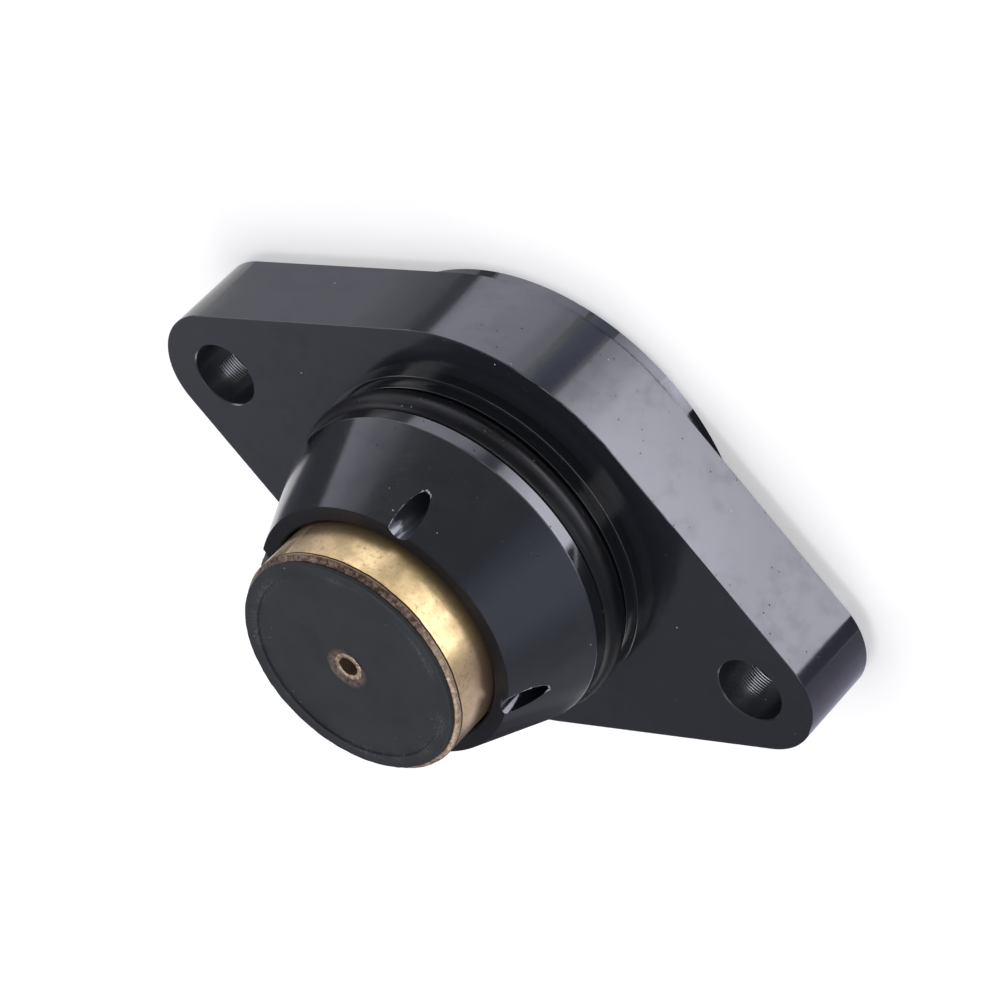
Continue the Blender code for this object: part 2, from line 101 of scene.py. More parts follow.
REAR_Z = body_low.z
NOSE_Z = body_high.z
FRONT_Z = box_mm("piston_face_seal")[1].z
FACE_Z = REAR_Z + PLATE_T
ARC_R = body_high.y
CAP_R = cap_high.y
EAR_R = 7.05
HALF_SPACING = body_high.x - EAR_R
HOLE_R = 3.53
PISTON_R = 12.5
BORE_R = 12.7
LAND_R = piston_high.x
print("flange face at", FACE_Z, "nose at", round(NOSE_Z, 2),
      "piston face at", round(FRONT_Z, 2))

# %% [markdown]
# ## Camera
# The photograph looks down on the nose from one side, with the camera rolled, so
# that the nose points to the lower left. A long lens from half a metre gives the
# same mild perspective. The camera is placed by its own three axes, and its lens by
# its focal length in pixels of a picture 1000 wide.

# %% Place the camera
SENSOR_MM = 36.0
FOCAL_PX = 5201.9
PICTURE_PX = 1000
RIGHT = Vector((0.81776, 0.11527, -0.56390))
UP = Vector((-0.48916, 0.65549, -0.57538))
BACK = Vector((0.30331, 0.74635, 0.59242))

lens = bpy.data.cameras.new("camera")
lens.sensor_width = SENSOR_MM
lens.lens = FOCAL_PX * SENSOR_MM / PICTURE_PX
lens.shift_x = -0.0056
lens.shift_y = 0.0055
lens.clip_start = 0.01
lens.clip_end = 20.0
camera = bpy.data.objects.new("camera", lens)
bpy.context.scene.collection.objects.link(camera)
place = Matrix((RIGHT, UP, BACK)).transposed().to_4x4()
place.translation = Vector((0.15360, 0.37806, 0.30779))
camera.matrix_world = place
bpy.context.scene.camera = camera
bpy.context.scene.view_settings.view_transform = "Standard"
VIEW_AZ = math.degrees(math.atan2(BACK.y, BACK.x))
VIEW_EL = math.degrees(math.asin(BACK.z))
print("camera at", [round(v, 3) for v in camera.matrix_world.translation])

# %% [markdown]
# ## Helpers for materials
# Each finish is a small tree of shader nodes. One function adds a node with its
# settings and feeds its inputs, which are listed in the node's own order, or named or
# numbered where some are left as they are. Map Range takes a value, the range it comes
# from and the range it goes to. Mix goes from colour 6 to colour 7 by factor 0. Colours
# are written as sRGB hex, as a paint program shows them, and one function turns them
# to the linear values Blender needs.

# %% Colour and node helpers


def linear(hex_colour):
    channels = []
    for i in (0, 2, 4):
        value = int(hex_colour[i:i + 2], 16) / 255
        low = value / 12.92
        high = ((value + 0.055) / 1.055) ** 2.4
        channels.append(low if value <= 0.04045 else high)
    return (*channels, 1.0)


def feed(tree, node, inputs):
    """Set inputs. Each value is a number, a hex colour, a node or one of its outputs."""
    if isinstance(inputs, tuple):
        inputs = dict(enumerate(inputs))
    for name, value in inputs.items():
        if isinstance(value, bpy.types.Node):
            value = next(out for out in value.outputs if out.enabled)
        if isinstance(value, bpy.types.NodeSocket):
            tree.links.new(value, node.inputs[name])
        else:
            node.inputs[name].default_value = linear(value) if isinstance(value, str) else value


def add(tree, kind, inputs=(), **settings):
    """Add a node with its settings and feed its inputs."""
    made = tree.nodes.new("ShaderNode" + kind)
    for name, value in settings.items():
        setattr(made, name, value)
    feed(tree, made, inputs)
    return made


def new_material(name):
    """A material, its node tree and its shader, and the place on the object in metres."""
    mat = bpy.data.materials.new(name)
    mat.use_nodes = True
    tree = mat.node_tree
    return mat, tree, tree.nodes["Principled BSDF"], add(tree, "TexCoord").outputs["Object"]


def per_metre(size_mm):
    """Scale of a noise or cell pattern whose features are this many millimetres."""
    return 1.0 / (size_mm * MM)


def from_axis(tree, x, y):
    """How far a place lies from an upright axis, by Pythagoras."""
    x_squared = add(tree, "Math", (x, x), operation="MULTIPLY")
    y_squared = add(tree, "Math", (y, y), operation="MULTIPLY")
    both = add(tree, "Math", (x_squared, y_squared), operation="ADD")
    return add(tree, "Math", (both,), operation="SQRT")


print("white is", [round(v, 2) for v in linear("ffffff")[:3]], "in linear values")

# %% [markdown]
# ## Black anodised aluminium
# The flange, nose and cap are machined aluminium with a dyed and sealed oxide layer.
# The layer is clear and dense, with an index of refraction near 1.7, so it reflects
# like a glassy coat over black: deep and bluish, not metallic. A plain dark gloss would
# look like plastic. What makes it real is uneven gloss, so a cloudy film and small pits
# lower the specular level here and there, and slow waves bend the reflections a little.
#
# Patterns are sized in millimetres. Real pits are far below 0.1 mm and would vanish in
# the render, so they are drawn in cells of 0.6 mm, and the grains of dust in cells of
# 1.6 mm. The turned face of the nose is dull from the tool, so it has its own version.
# The walls of the screw holes and of one passage get lighter grey versions, which are
# painted fill light that lifts the shade deep in those holes.

# %% Make the anodised finish


def cell_dots(tree, spot, size_mm, share, radius):
    """Round dots in some cells of a Voronoi pattern: 1 inside a dot, 0 outside."""
    cells = add(tree, "TexVoronoi",
                {"Vector": spot, "Scale": per_metre(size_mm), "Randomness": 1.0}).outputs
    dot = add(tree, "MapRange",
              (cells["Distance"], radius * 0.6, radius, 1.0, 0.0))
    pick = add(tree, "SeparateColor", (cells["Color"],)).outputs[0]
    chosen = add(tree, "MapRange", (pick, 1 - share, 1.01 - share))
    return add(tree, "Math", (dot, chosen), operation="MULTIPLY")


def anodised(name, roughness, base="191a1e", light="202229", ior=1.7):
    mat, tree, shader, spot = new_material(name)
    cloud = add(tree, "TexNoise",
                {"Vector": spot, "Scale": per_metre(9.0), "Detail": 4.0, "Roughness": 0.6})
    colour = add(tree, "Mix", {0: cloud, 6: base, 7: light}, data_type="RGBA")
    dust = cell_dots(tree, spot, 1.6, 0.15, 0.056)
    colour = add(tree, "Mix", {0: dust, 6: colour, 7: "c4c6cc"}, data_type="RGBA")
    pores = add(tree, "TexNoise",
                {"Vector": spot, "Scale": per_metre(0.4), "Detail": 2.0, "Roughness": 0.6})
    patches = add(tree, "TexNoise",
                  {"Vector": spot, "Scale": per_metre(2.4), "Detail": 5.0, "Roughness": 0.65})
    # A thin film and pits take gloss away.
    film = add(tree, "MapRange", (patches, 0.46, 0.62))
    cloudy = add(tree, "MapRange", (cloud, 0.42, 0.56, 0.25, 1.0))
    film = add(tree, "Math", (film, cloudy), operation="MULTIPLY")
    pits = cell_dots(tree, spot, 0.6, 0.5, 0.15)
    pitted = add(tree, "MapRange", (patches, 0.5, 0.56))
    pits = add(tree, "Math", (pits, pitted), operation="MULTIPLY")
    film_dull = add(tree, "MapRange", (film, 0.0, 1.0, 0.0, 0.075))
    pit_dull = add(tree, "Math", (pits, 0.35), operation="MULTIPLY")
    dull = add(tree, "Math", (film_dull, pit_dull), operation="ADD")
    specular = add(tree, "Math", (0.5, dull), operation="SUBTRACT")
    # Smudges and pores change the roughness.
    smudge = add(tree, "MapRange",
                 (cloud, 0.35, 0.7, roughness * 0.8, roughness * 1.4))
    fine = add(tree, "MapRange", (pores, 0.3, 0.7, -0.01, 0.015))
    rough = add(tree, "Math", (smudge, fine), operation="ADD")
    # Height in units of the bump distance: fine pores, minus pits, plus slow waves.
    waves = add(tree, "TexNoise",
                {"Vector": spot, "Scale": per_metre(1.3), "Detail": 3.0, "Roughness": 0.6})
    worn = add(tree, "MapRange", (cloud, 0.5, 0.62, 0.0, 0.3))
    wavy = add(tree, "Math", (waves, worn), operation="MULTIPLY")
    height = add(tree, "MapRange", (pores, 0.0, 1.0, 0.0, 0.05))
    height = add(tree, "Math", (height, pits), operation="SUBTRACT")
    height = add(tree, "Math", (height, wavy), operation="ADD")
    bump = add(tree, "Bump", {"Strength": 1.0, "Distance": 0.03 * MM, "Height": height})
    feed(tree, shader, {"Base Color": colour, "Roughness": rough, "IOR": ior,
                        "Specular IOR Level": specular, "Normal": bump})
    return mat


anodised_body = anodised("black_anodised_aluminium", 0.14)
anodised_cap = anodised("black_anodised_aluminium_cap", 0.16)
anodised_turned = anodised("black_anodised_aluminium_turned_face", 0.4, "14151a", "1b1b20", 1.3)
# Painted fill light: the walls of the screw holes and of one passage are lighter grey, which
# lifts the shade deep in them.
anodised_drilled_painted_fill = anodised("black_anodised_aluminium_drilled_painted_fill", 0.25, "2a2c32", "32343a")
anodised_passage_painted_fill = anodised("black_anodised_aluminium_passage_painted_fill", 0.35, "3e4047", "4a4c54")
print("anodised finishes:", [m.name for m in bpy.data.materials if "anodised_al" in m.name])

# %% [markdown]
# ## Brass
# The piston is turned brass that has been in use: golden where it is clean, mottled
# with a thin brown oxide, pinkish at the end where it was handled, and brown and pitted
# on the chamfer under the facing. Towards the bore it turns darker brown, which is
# painted shade where the bore shades the skirt. Oxide is no metal, so where it is thick,
# and in the painted shade, the finish turns less metallic and rougher. A scratch map
# would need an image, so two noises do it: one of 4.5 mm for stains and one of 0.5 mm
# for grain.
#
# The brown chamfer starts at a height, and narrows towards one side by RIM_TAPER. The
# piston's mesh below uses the same value, so that colour and shape agree.

# %% Make the brass finishes
RIM_TAPER = 0.22


def tarnished_and_shaded_brass(name, clean, stain_and_shade_colour, rim, rim_z):
    mat, tree, shader, spot = new_material(name)
    place = add(tree, "SeparateXYZ", (spot,)).outputs
    broad = add(tree, "TexNoise",
                {"Vector": spot, "Scale": per_metre(4.5), "Detail": 7.0, "Roughness": 0.7})
    grain = add(tree, "TexNoise",
                {"Vector": spot, "Scale": per_metre(0.5), "Detail": 3.0, "Roughness": 0.7})
    # Oxide: stains, speckle and spots.
    stain_and_shade = add(tree, "MapRange", (broad, 0.45, 0.72, 0.0, 0.7))
    speckle = add(tree, "MapRange", (grain, 0.5, 0.7, 0.0, 0.6))
    spots = add(tree, "Math", (cell_dots(tree, spot, 0.9, 0.5, 0.1), 0.7),
                operation="MULTIPLY")
    speckle = add(tree, "Math", (speckle, spots), operation="MAXIMUM")
    stain_and_shade = add(tree, "Math", (stain_and_shade, speckle), operation="MAXIMUM")
    # Painted shade: a wavy band of darker, less metallic brass just above the nose, where the
    # bore shades the skirt.
    wavy = add(tree, "Math", (broad, 1.6 * MM), operation="MULTIPLY")
    bore_z = add(tree, "Math", (place["Z"], wavy), operation="ADD")
    painted_bore_shade = add(tree, "MapRange", (bore_z, (NOSE_Z + 0.9) * MM,
                                       (NOSE_Z + 1.9) * MM, 0.6, 0.0))
    stain_and_shade = add(tree, "Math", (stain_and_shade, painted_bore_shade), operation="MAXIMUM")
    # The two ends of the visible arc, where the brass was handled.
    slant = add(tree, "Math", (place["Y"], 0.9), operation="MULTIPLY")
    handled = add(tree, "Math", (place["X"], slant), operation="SUBTRACT")
    one_end = add(tree, "MapRange", (handled, 2 * MM, 9 * MM, 0.0, 0.75))
    other_end = add(tree, "MapRange",
                    (handled, -14.5 * MM, -16.5 * MM, 0.0, 0.5))
    pink = add(tree, "Math", (one_end, other_end), operation="MAXIMUM")
    less = add(tree, "MapRange", (pink, 0.0, 1.0, 1.0, 0.6))
    stain_and_shade = add(tree, "Math", (stain_and_shade, less), operation="MULTIPLY")
    colour = add(tree, "Mix", {0: pink, 6: clean, 7: "cbae97"}, data_type="RGBA")
    colour = add(tree, "Mix", {0: stain_and_shade, 6: colour, 7: stain_and_shade_colour}, data_type="RGBA")
    # The brown chamfer, paler towards the handled end.
    shift = add(tree, "Math", (grain, 0.3 * MM), operation="MULTIPLY")
    taper = add(tree, "MapRange",
                (handled, -6 * MM, 6 * MM, 0.0, RIM_TAPER * MM))
    shift = add(tree, "Math", (shift, taper), operation="SUBTRACT")
    height = add(tree, "Math", (place["Z"], shift), operation="ADD")
    rim_part = add(tree, "MapRange", (height, (rim_z + 0.1) * MM, (rim_z + 0.2) * MM))
    pale = add(tree, "MapRange", (handled, -3 * MM, 5 * MM))
    rim_light = add(tree, "Mix", {0: pale, 6: "9d897b", 7: "d8c3ac"}, data_type="RGBA")
    rim_dark = add(tree, "Mix", {0: pale, 6: rim, 7: "ad957f"}, data_type="RGBA")
    spotty = add(tree, "MapRange", (grain, 0.42, 0.62))
    rim_colour = add(tree, "Mix", {0: spotty, 6: rim_dark, 7: rim_light}, data_type="RGBA")
    colour = add(tree, "Mix", {0: rim_part, 6: colour, 7: rim_colour}, data_type="RGBA")
    metal = add(tree, "MapRange", (stain_and_shade, 0.0, 1.0, 1.0, 0.6))
    rough = add(tree, "MapRange", (stain_and_shade, 0.0, 1.0, 0.31, 0.46))
    rim_rough = add(tree, "MapRange", (rim_part, 0.0, 1.0, 0.0, 0.14))
    rough = add(tree, "Math", (rough, rim_rough), operation="ADD")
    bump = add(tree, "Bump", {"Strength": 0.5, "Distance": 0.03 * MM, "Height": grain})
    feed(tree, shader, {"Base Color": colour, "Metallic": metal, "Roughness": rough,
                        "Normal": bump})
    return mat


brass = tarnished_and_shaded_brass("turned_brass_tarnished_and_shaded", "ddc290", "86704f", "5d4b42", FRONT_Z - 1.05)
jet_brass = tarnished_and_shaded_brass("jet_brass_worn", "a98f6c", "6d563f", "b59c7c", FRONT_Z - 0.6)
print("brass finishes:", brass.name, jet_brass.name)

# %% [markdown]
# ## Crust, grime and bare metal
# The crust round the jet is a dull purple brown deposit of oxide and grime, which
# fades into the rubber at its edge. Brown grime also fills the crack under the rim and
# the bore of the jet. All of it is dry dirt: rough, with no metal in it.
#
# Where the drill rubbed the black layer off a passage, bare aluminium shows in streaks
# along the drill's way, so that noise is stretched along Z. The torn edge of the mouth
# is bare and bright all over.

# %% Make the crust and the bare metal
crust_mat, tree, shader, spot = new_material("brass_oxide_crust")
lumps = add(tree, "TexNoise",
            {"Vector": spot, "Scale": per_metre(0.6), "Detail": 4.0, "Roughness": 0.7})
lump = add(tree, "MapRange", (lumps, 0.36, 0.66))
place = add(tree, "SeparateXYZ", (spot,)).outputs
off_x = add(tree, "Math", (place["X"], 0.2 * MM), operation="ADD")
off_y = add(tree, "Math", (place["Y"], 0.5 * MM), operation="ADD")
ragged = add(tree, "Math", (lump, 0.5 * MM), operation="MULTIPLY")
reach = add(tree, "Math", (from_axis(tree, off_x, off_y), ragged), operation="ADD")
fade = add(tree, "MapRange", (reach, 2.1 * MM, 2.75 * MM))
crusty = add(tree, "Mix", {0: lump, 6: "2b2527", 7: "74645c"}, data_type="RGBA")
crusty = add(tree, "Mix", {0: fade, 6: crusty, 7: "17171b"}, data_type="RGBA")
bump = add(tree, "Bump", {"Strength": 0.6, "Distance": 0.06 * MM, "Height": lumps})
feed(tree, shader, {"Base Color": crusty, "Roughness": 0.7, "Normal": bump})

grime, tree, shader, spot = new_material("brown_grime")
grain = add(tree, "TexNoise", {"Vector": spot, "Scale": per_metre(0.4)})
dirt = add(tree, "Mix", {0: grain, 6: "33261e", 7: "5c4838"}, data_type="RGBA")
feed(tree, shader, {"Base Color": dirt, "Roughness": 0.6})

bare_metal, tree, shader, spot = new_material("bare_aluminium")
place = add(tree, "SeparateXYZ", (spot,)).outputs
along = add(tree, "Math", (place["Z"], 0.04), operation="MULTIPLY")
long_way = add(tree, "CombineXYZ", (place["X"], place["Y"], along))
scratch = add(tree, "TexNoise", {"Vector": long_way, "Scale": per_metre(0.22), "Detail": 2.0})
ragged = add(tree, "TexNoise", {"Vector": long_way, "Scale": per_metre(0.8), "Detail": 3.0})
shine = add(tree, "MapRange", (scratch, 0.45, 0.52))
ragged = add(tree, "Math", (ragged, 3 * MM), operation="MULTIPLY")
depth = add(tree, "Math", (place["Z"], ragged), operation="ADD")
rubbed = add(tree, "MapRange", (depth, 28.5 * MM, 28.8 * MM))
bare = add(tree, "Math", (rubbed, shine), operation="MULTIPLY")
streaks = add(tree, "Mix", {0: bare, 6: "33353b", 7: "8d8f94"}, data_type="RGBA")
feed(tree, shader, {"Base Color": streaks, "Metallic": bare, "Roughness": 0.4})

torn_edge, tree, shader, spot = new_material("torn_aluminium_edge")
scratch = add(tree, "TexNoise", {"Vector": spot, "Scale": per_metre(0.3)})
bright = add(tree, "Mix", {0: scratch, 6: "8f9196", 7: "c2c4c8"}, data_type="RGBA")
feed(tree, shader, {"Base Color": bright, "Metallic": 1.0, "Roughness": 0.42})
print("made:", crust_mat.name, grime.name, bare_metal.name, torn_edge.name)

# %% [markdown]
# ## Rubber
# The facing is a moulded rubber disc, dull black with a bluish cast, scuffed on its
# raised lip, with pale specks of grit that gather near its edge. The seal rings are
# smooth nitrile with a soft, weak sheen. One function makes both, since only the
# roughness, the gloss and the share of specks differ. The grain of the mould is finer
# than a pixel, so it is drawn at 0.25 mm.

# %% Make the rubber finishes


def rubber(name, base, light, roughness, specks, gloss=0.5):
    mat, tree, shader, spot = new_material(name)
    cloud = add(tree, "TexNoise",
                {"Vector": spot, "Scale": per_metre(5.0), "Detail": 4.0, "Roughness": 0.6})
    grain = add(tree, "TexNoise",
                {"Vector": spot, "Scale": per_metre(0.25), "Detail": 2.0, "Roughness": 0.6})
    patchy = add(tree, "MapRange", (cloud, 0.35, 0.7))
    colour = add(tree, "Mix", {0: patchy, 6: base, 7: light}, data_type="RGBA")
    # Grit gathers outwards, and the lip is scuffed grey in broken patches.
    place = add(tree, "SeparateXYZ", (spot,)).outputs
    far_out = from_axis(tree, place["X"], place["Y"])
    edge = add(tree, "MapRange", (far_out, 8.0 * MM, 11.6 * MM, 0.1, 1.0))
    grit = add(tree, "Math", (cell_dots(tree, spot, 1.1, specks, 0.08), edge),
               operation="MULTIPLY")
    colour = add(tree, "Mix", {0: grit, 6: colour, 7: "85868a"}, data_type="RGBA")
    lip_in = add(tree, "MapRange", (far_out, 9.9 * MM, 10.7 * MM))
    lip_out = add(tree, "MapRange", (far_out, 10.8 * MM, 11.5 * MM, 1.0, 0.0))
    scuff = add(tree, "Math", (lip_in, lip_out), operation="MULTIPLY")
    for noise_node, low, high, most in ((cloud, 0.5, 0.62, 0.6), (grain, 0.45, 0.6, 1.0)):
        broken = add(tree, "MapRange", (noise_node, low, high, 0.0, most))
        scuff = add(tree, "Math", (scuff, broken), operation="MULTIPLY")
    colour = add(tree, "Mix", {0: scuff, 6: colour, 7: "56585d"}, data_type="RGBA")
    rough = add(tree, "MapRange",
                (cloud, 0.3, 0.7, roughness - 0.06, roughness + 0.08))
    bump = add(tree, "Bump", {"Strength": 0.3, "Distance": 0.03 * MM, "Height": grain})
    feed(tree, shader, {"Base Color": colour, "Roughness": rough, "Normal": bump,
                        "Specular IOR Level": gloss})
    return mat


facing_rubber = rubber("moulded_rubber_facing", "191b1f", "23262b", 0.6, 0.6)
nitrile = rubber("nitrile_rubber", "0e0f13", "15161b", 0.33, 0.7, 0.28)
print("rubber finishes:", facing_rubber.name, nitrile.name)

# %% [markdown]
# ## Plain inner materials
# The spring, washer, screws, ptfe ring and urethane bumper are hidden inside. They
# still get a simple finish with a little grain, so that they look right on their own.
# Steel and brass are metals. Ptfe and urethane aren't, and are milky and amber.

# %% Make the inner finishes


def grained(name, base, light, metallic, roughness, size_mm):
    mat, tree, shader, spot = new_material(name)
    grain = add(tree, "TexNoise",
                {"Vector": spot, "Scale": per_metre(size_mm), "Detail": 3.0})
    colour = add(tree, "Mix", {0: grain, 6: base, 7: light}, data_type="RGBA")
    rough = add(tree, "MapRange",
                (grain, 0.3, 0.7, roughness - 0.05, roughness + 0.08))
    feed(tree, shader, {"Base Color": colour, "Metallic": metallic, "Roughness": rough})
    return mat


spring_steel = grained("oiled_spring_steel", "6f757b", "8d939a", 1.0, 0.3, 0.6)
stainless = grained("stainless_steel", "9b9ea3", "b4b7bb", 1.0, 0.28, 0.5)
ptfe = grained("ptfe", "d6d2c6", "e2dfd5", 0.0, 0.5, 0.8)
urethane = grained("cast_urethane", "a06c28", "b8802f", 0.0, 0.4, 1.5)
seat_brass = grained("drilled_brass", "b58f50", "caa566", 1.0, 0.34, 0.6)

inner = {"spring_seat": stainless, "bump_stop": urethane, "piston_guide_ring": ptfe,
         "piston_seal_ring": nitrile, "cap_o_ring": nitrile, "pilot_seat": seat_brass}
for node, mat in inner.items():
    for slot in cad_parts[node].material_slots:
        slot.material = mat
print("inner nodes finished:", len(inner))

# %% [markdown]
# ## Helpers for shapes
# Every round piece is a profile of radius and height that is spun about the valve's
# axis. Corners are rounded on the spun mesh with a small bevel, since no machined or
# moulded edge is perfectly sharp. Shading is smooth, with the sharp edges marked. On
# the body and the cap a Weighted Normal modifier lets the big faces set the normals.
# Without it a flat wall would mirror as if it were bent beside its bevels.

# %% Spin, bevel and finish helpers
STEPS = 240


def spun(profile, closed=True, steps=STEPS, centre=(0.0, 0.0)):
    """Spin a profile of (radius, z) in mm about a vertical axis into a bmesh."""
    bm = bmesh.new()
    verts = [bm.verts.new((centre[0] + r, centre[1], z)) for r, z in profile]
    edges = [bm.edges.new(pair) for pair in zip(verts, verts[1:])]
    if closed:
        edges.append(bm.edges.new((verts[-1], verts[0])))
    bmesh.ops.spin(bm, geom=verts + edges, cent=(*centre, 0.0), axis=(0, 0, 1),
                   dvec=(0, 0, 0), angle=2 * math.pi, steps=steps, use_merge=True,
                   use_duplicate=False)
    bmesh.ops.remove_doubles(bm, verts=bm.verts, dist=1e-5)
    bmesh.ops.recalc_face_normals(bm, faces=bm.faces)
    return bm


def ring_edges(bm, radius, z, centre=(0.0, 0.0)):
    """The circle of edges at a radius and height."""
    def on_circle(vert):
        r = math.hypot(vert.co.x - centre[0], vert.co.y - centre[1])
        return abs(r - radius) < 2e-3 and abs(vert.co.z - z) < 2e-3
    return [e for e in bm.edges if on_circle(e.verts[0]) and on_circle(e.verts[1])]


def soften(bm, edges, width, segments=3):
    bmesh.ops.bevel(bm, geom=edges, offset=width, offset_type="OFFSET", segments=segments,
                    profile=0.5, affect="EDGES", material=-1, clamp_overlap=True)


def to_object(bm, name, mat, sharp=35.0):
    """Scale a bmesh from millimetres and make it an object at the origin."""
    bmesh.ops.scale(bm, vec=(MM, MM, MM), verts=bm.verts)
    mesh = bpy.data.meshes.new(name)
    bm.to_mesh(mesh)
    bm.free()
    mesh.materials.append(mat)
    mesh.shade_smooth()
    mesh.set_sharp_from_angle(angle=math.radians(sharp))
    obj = bpy.data.objects.new(name, mesh)
    bpy.context.scene.collection.objects.link(obj)
    return obj


def booleans(obj, tools):
    """Cut and join with Boolean modifiers, apply them and remove the tools."""
    for tool, operation in tools:
        mod = obj.modifiers.new(tool.name, "BOOLEAN")
        mod.operation = operation
        mod.solver = "EXACT"
        mod.object = tool
    bpy.context.view_layer.update()
    done = bpy.data.meshes.new_from_object(
        obj.evaluated_get(bpy.context.evaluated_depsgraph_get()))
    obj.modifiers.clear()
    obj.data = done
    for tool, _ in tools:
        bpy.data.objects.remove(tool, do_unlink=True)


def refinish(obj, *mats):
    """Give a mesh that was cut its finishes and its smooth shading again."""
    obj.data.materials.clear()
    for mat in mats:
        obj.data.materials.append(mat)
    obj.data.shade_smooth()
    obj.data.set_sharp_from_angle(angle=math.radians(30))


def keep_flats(obj):
    """Let the big faces set the normals, so that flat walls mirror evenly."""
    obj.modifiers.new("weighted", "WEIGHTED_NORMAL").keep_sharp = True


def settle(piece, body, slot, *nodes):
    """Say which body a piece rides on and what it replaces. The slot argument is not used."""
    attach(piece, body)
    if nodes:
        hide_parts(*nodes)
    print(piece.name, "rides on", body, "with", len(piece.data.polygons), "faces")


# %% [markdown]
# ## Flange plate
# The flange is a plate of 9.8 mm with an outline of arcs and straight flanks. Its
# outline could be drawn as a curve, but two spun points give true arcs: one sweeps
# round the middle, one round each ear, and the gaps between them close as flanks.

# %% Make the flange plate


def arc(bm, start, centre, angle, steps):
    """Sweep one vertex into an arc and return the arc's two ends."""
    first = bm.verts.new(start)
    made = bmesh.ops.spin(bm, geom=[first], cent=centre, axis=(0, 0, 1), dvec=(0, 0, 0),
                          angle=angle, steps=steps, use_merge=False)
    last = [g for g in made["geom_last"] if isinstance(g, bmesh.types.BMVert)][0]
    return first, last


lean = math.acos((ARC_R - EAR_R) / HALF_SPACING)
plate = bmesh.new()
ends = []
for side in (0.0, math.pi):
    c, s = math.cos(side), math.sin(side)
    ear = Vector((HALF_SPACING * c, HALF_SPACING * s, REAR_Z))
    start = ear + Vector((math.cos(side - lean), math.sin(side - lean), 0.0)) * EAR_R
    ends.append(arc(plate, start, ear, 2 * lean, 48))
    start = Vector((math.cos(side + lean), math.sin(side + lean), 0.0)) * ARC_R
    start.z = REAR_Z
    ends.append(arc(plate, start, (0, 0, REAR_Z), math.pi - 2 * lean, 64))
for k, (_, last) in enumerate(ends):
    plate.edges.new((last, ends[(k + 1) % len(ends)][0]))
outline = list(plate.edges)
floor_face = bmesh.ops.contextual_create(plate, geom=outline)["faces"]
raised = bmesh.ops.extrude_face_region(plate, geom=floor_face)
top = [g for g in raised["geom"] if isinstance(g, bmesh.types.BMVert)]
bmesh.ops.translate(plate, verts=top, vec=(0, 0, FACE_Z - REAR_Z))
bmesh.ops.recalc_face_normals(plate, faces=plate.faces)
for z, width in ((REAR_Z, 0.05), (FACE_Z, 0.1)):
    rims = [e for e in plate.edges if all(abs(v.co.z - z) < 1e-4 for v in e.verts)]
    soften(plate, rims, width, 3)
print("flange plate:", len(plate.verts), "vertices")

# %% [markdown]
# ## Collar, groove and cone
# Above the flange the billet is turned: two low steps, the seal groove, a short land
# and the cone. A lathe leaves these as one profile, so one spin makes them all.

# %% Make the collar and nose
GROOVE_R = 16.3
NOSE_LAND_R = 18.1
CONE_Z = FACE_Z + 7.15
LAND_Z = FACE_Z + 5.65
NOSE_OUT_R = 14.5
steps_r = ((18.8, FACE_Z + 1.15), (18.25, FACE_Z + 2.25))
collar_profile = [
    (0.0, NOSE_Z), (NOSE_OUT_R - 0.14, NOSE_Z), (NOSE_LAND_R, CONE_Z), (NOSE_LAND_R, LAND_Z),
    (GROOVE_R, LAND_Z), (GROOVE_R, steps_r[1][1]), (steps_r[1][0], steps_r[1][1]),
    (steps_r[1][0], steps_r[0][1]), (steps_r[0][0], steps_r[0][1]),
    (steps_r[0][0], FACE_Z - 3.0), (0.0, FACE_Z - 3.0),
]
collar = spun(collar_profile, closed=False)
for radius, z, width in ((NOSE_OUT_R - 0.14, NOSE_Z, 0.07), (NOSE_LAND_R, CONE_Z, 0.1),
                         (NOSE_LAND_R, LAND_Z, 0.07), (*steps_r[1], 0.08),
                         (*steps_r[0], 0.08)):
    soften(collar, ring_edges(collar, radius, z), width, 4)
print("collar:", len(collar.verts), "vertices")

# %% [markdown]
# ## Bore, passages and screw holes
# The holes are cut from the joined solid, as on the lathe and the drill press. The
# screw holes keep the drill's feed marks: fine rings 0.3 mm apart, on the side of the
# wall that faces the camera, and deepest further down. The photograph shows them as a
# ladder of thin lines.
#
# Each passage's cutter is turned a little about its own axis, so that none of its
# corners lies on an edge of the collar, where a Boolean can fail. After the cut each
# face gets its finish by where it is: drilled wall, turned nose face, passage or plain,
# and bare metal on one side of three of the mouths. The drilled walls and one passage
# are lighter grey, as painted fill light in those holes.

# %% Cut the body
STOP_Z = 21.0
CHAMBER_R = 13.4
FLOOR_Z = 6.3
VENT_R = 0.95
VENT_MOUTH_R = 1.25
VENT_PCR = 14.85
FEED = 0.3
FEED_DEPTH = 0.045
OFF_PLANE = Matrix.Rotation(0.04, 3, "Z")


def vent_spot(k):
    """The axis of passage k, in mm."""
    a = k * math.pi / 2
    return (VENT_PCR * math.cos(a), VENT_PCR * math.sin(a))


bore = spun([(0.0, NOSE_Z + 1), (BORE_R + 1.2, NOSE_Z + 1), (BORE_R, NOSE_Z - 0.2),
             (BORE_R, STOP_Z), (CHAMBER_R, STOP_Z), (CHAMBER_R, FLOOR_Z), (16.9, FLOOR_Z),
             (16.9, REAR_Z + 1.9), (19.8, REAR_Z - 1), (0.0, REAR_Z - 1)], closed=False)
tools = [(to_object(collar, "collar", None), "UNION"),
         (to_object(bore, "bore", None), "DIFFERENCE")]
for k in range(4):
    spot = vent_spot(k)
    rod = spun([(0.0, NOSE_Z + 1), (VENT_MOUTH_R, NOSE_Z + 1), (VENT_MOUTH_R, STOP_Z + 1),
                (VENT_R, STOP_Z + 0.8), (VENT_R, FLOOR_Z - 1), (0.0, FLOOR_Z - 1)],
               closed=False, steps=56, centre=spot)
    bmesh.ops.rotate(rod, verts=rod.verts, cent=(*spot, 0), matrix=OFF_PLANE)
    tools.append((to_object(rod, "vent", None), "DIFFERENCE"))
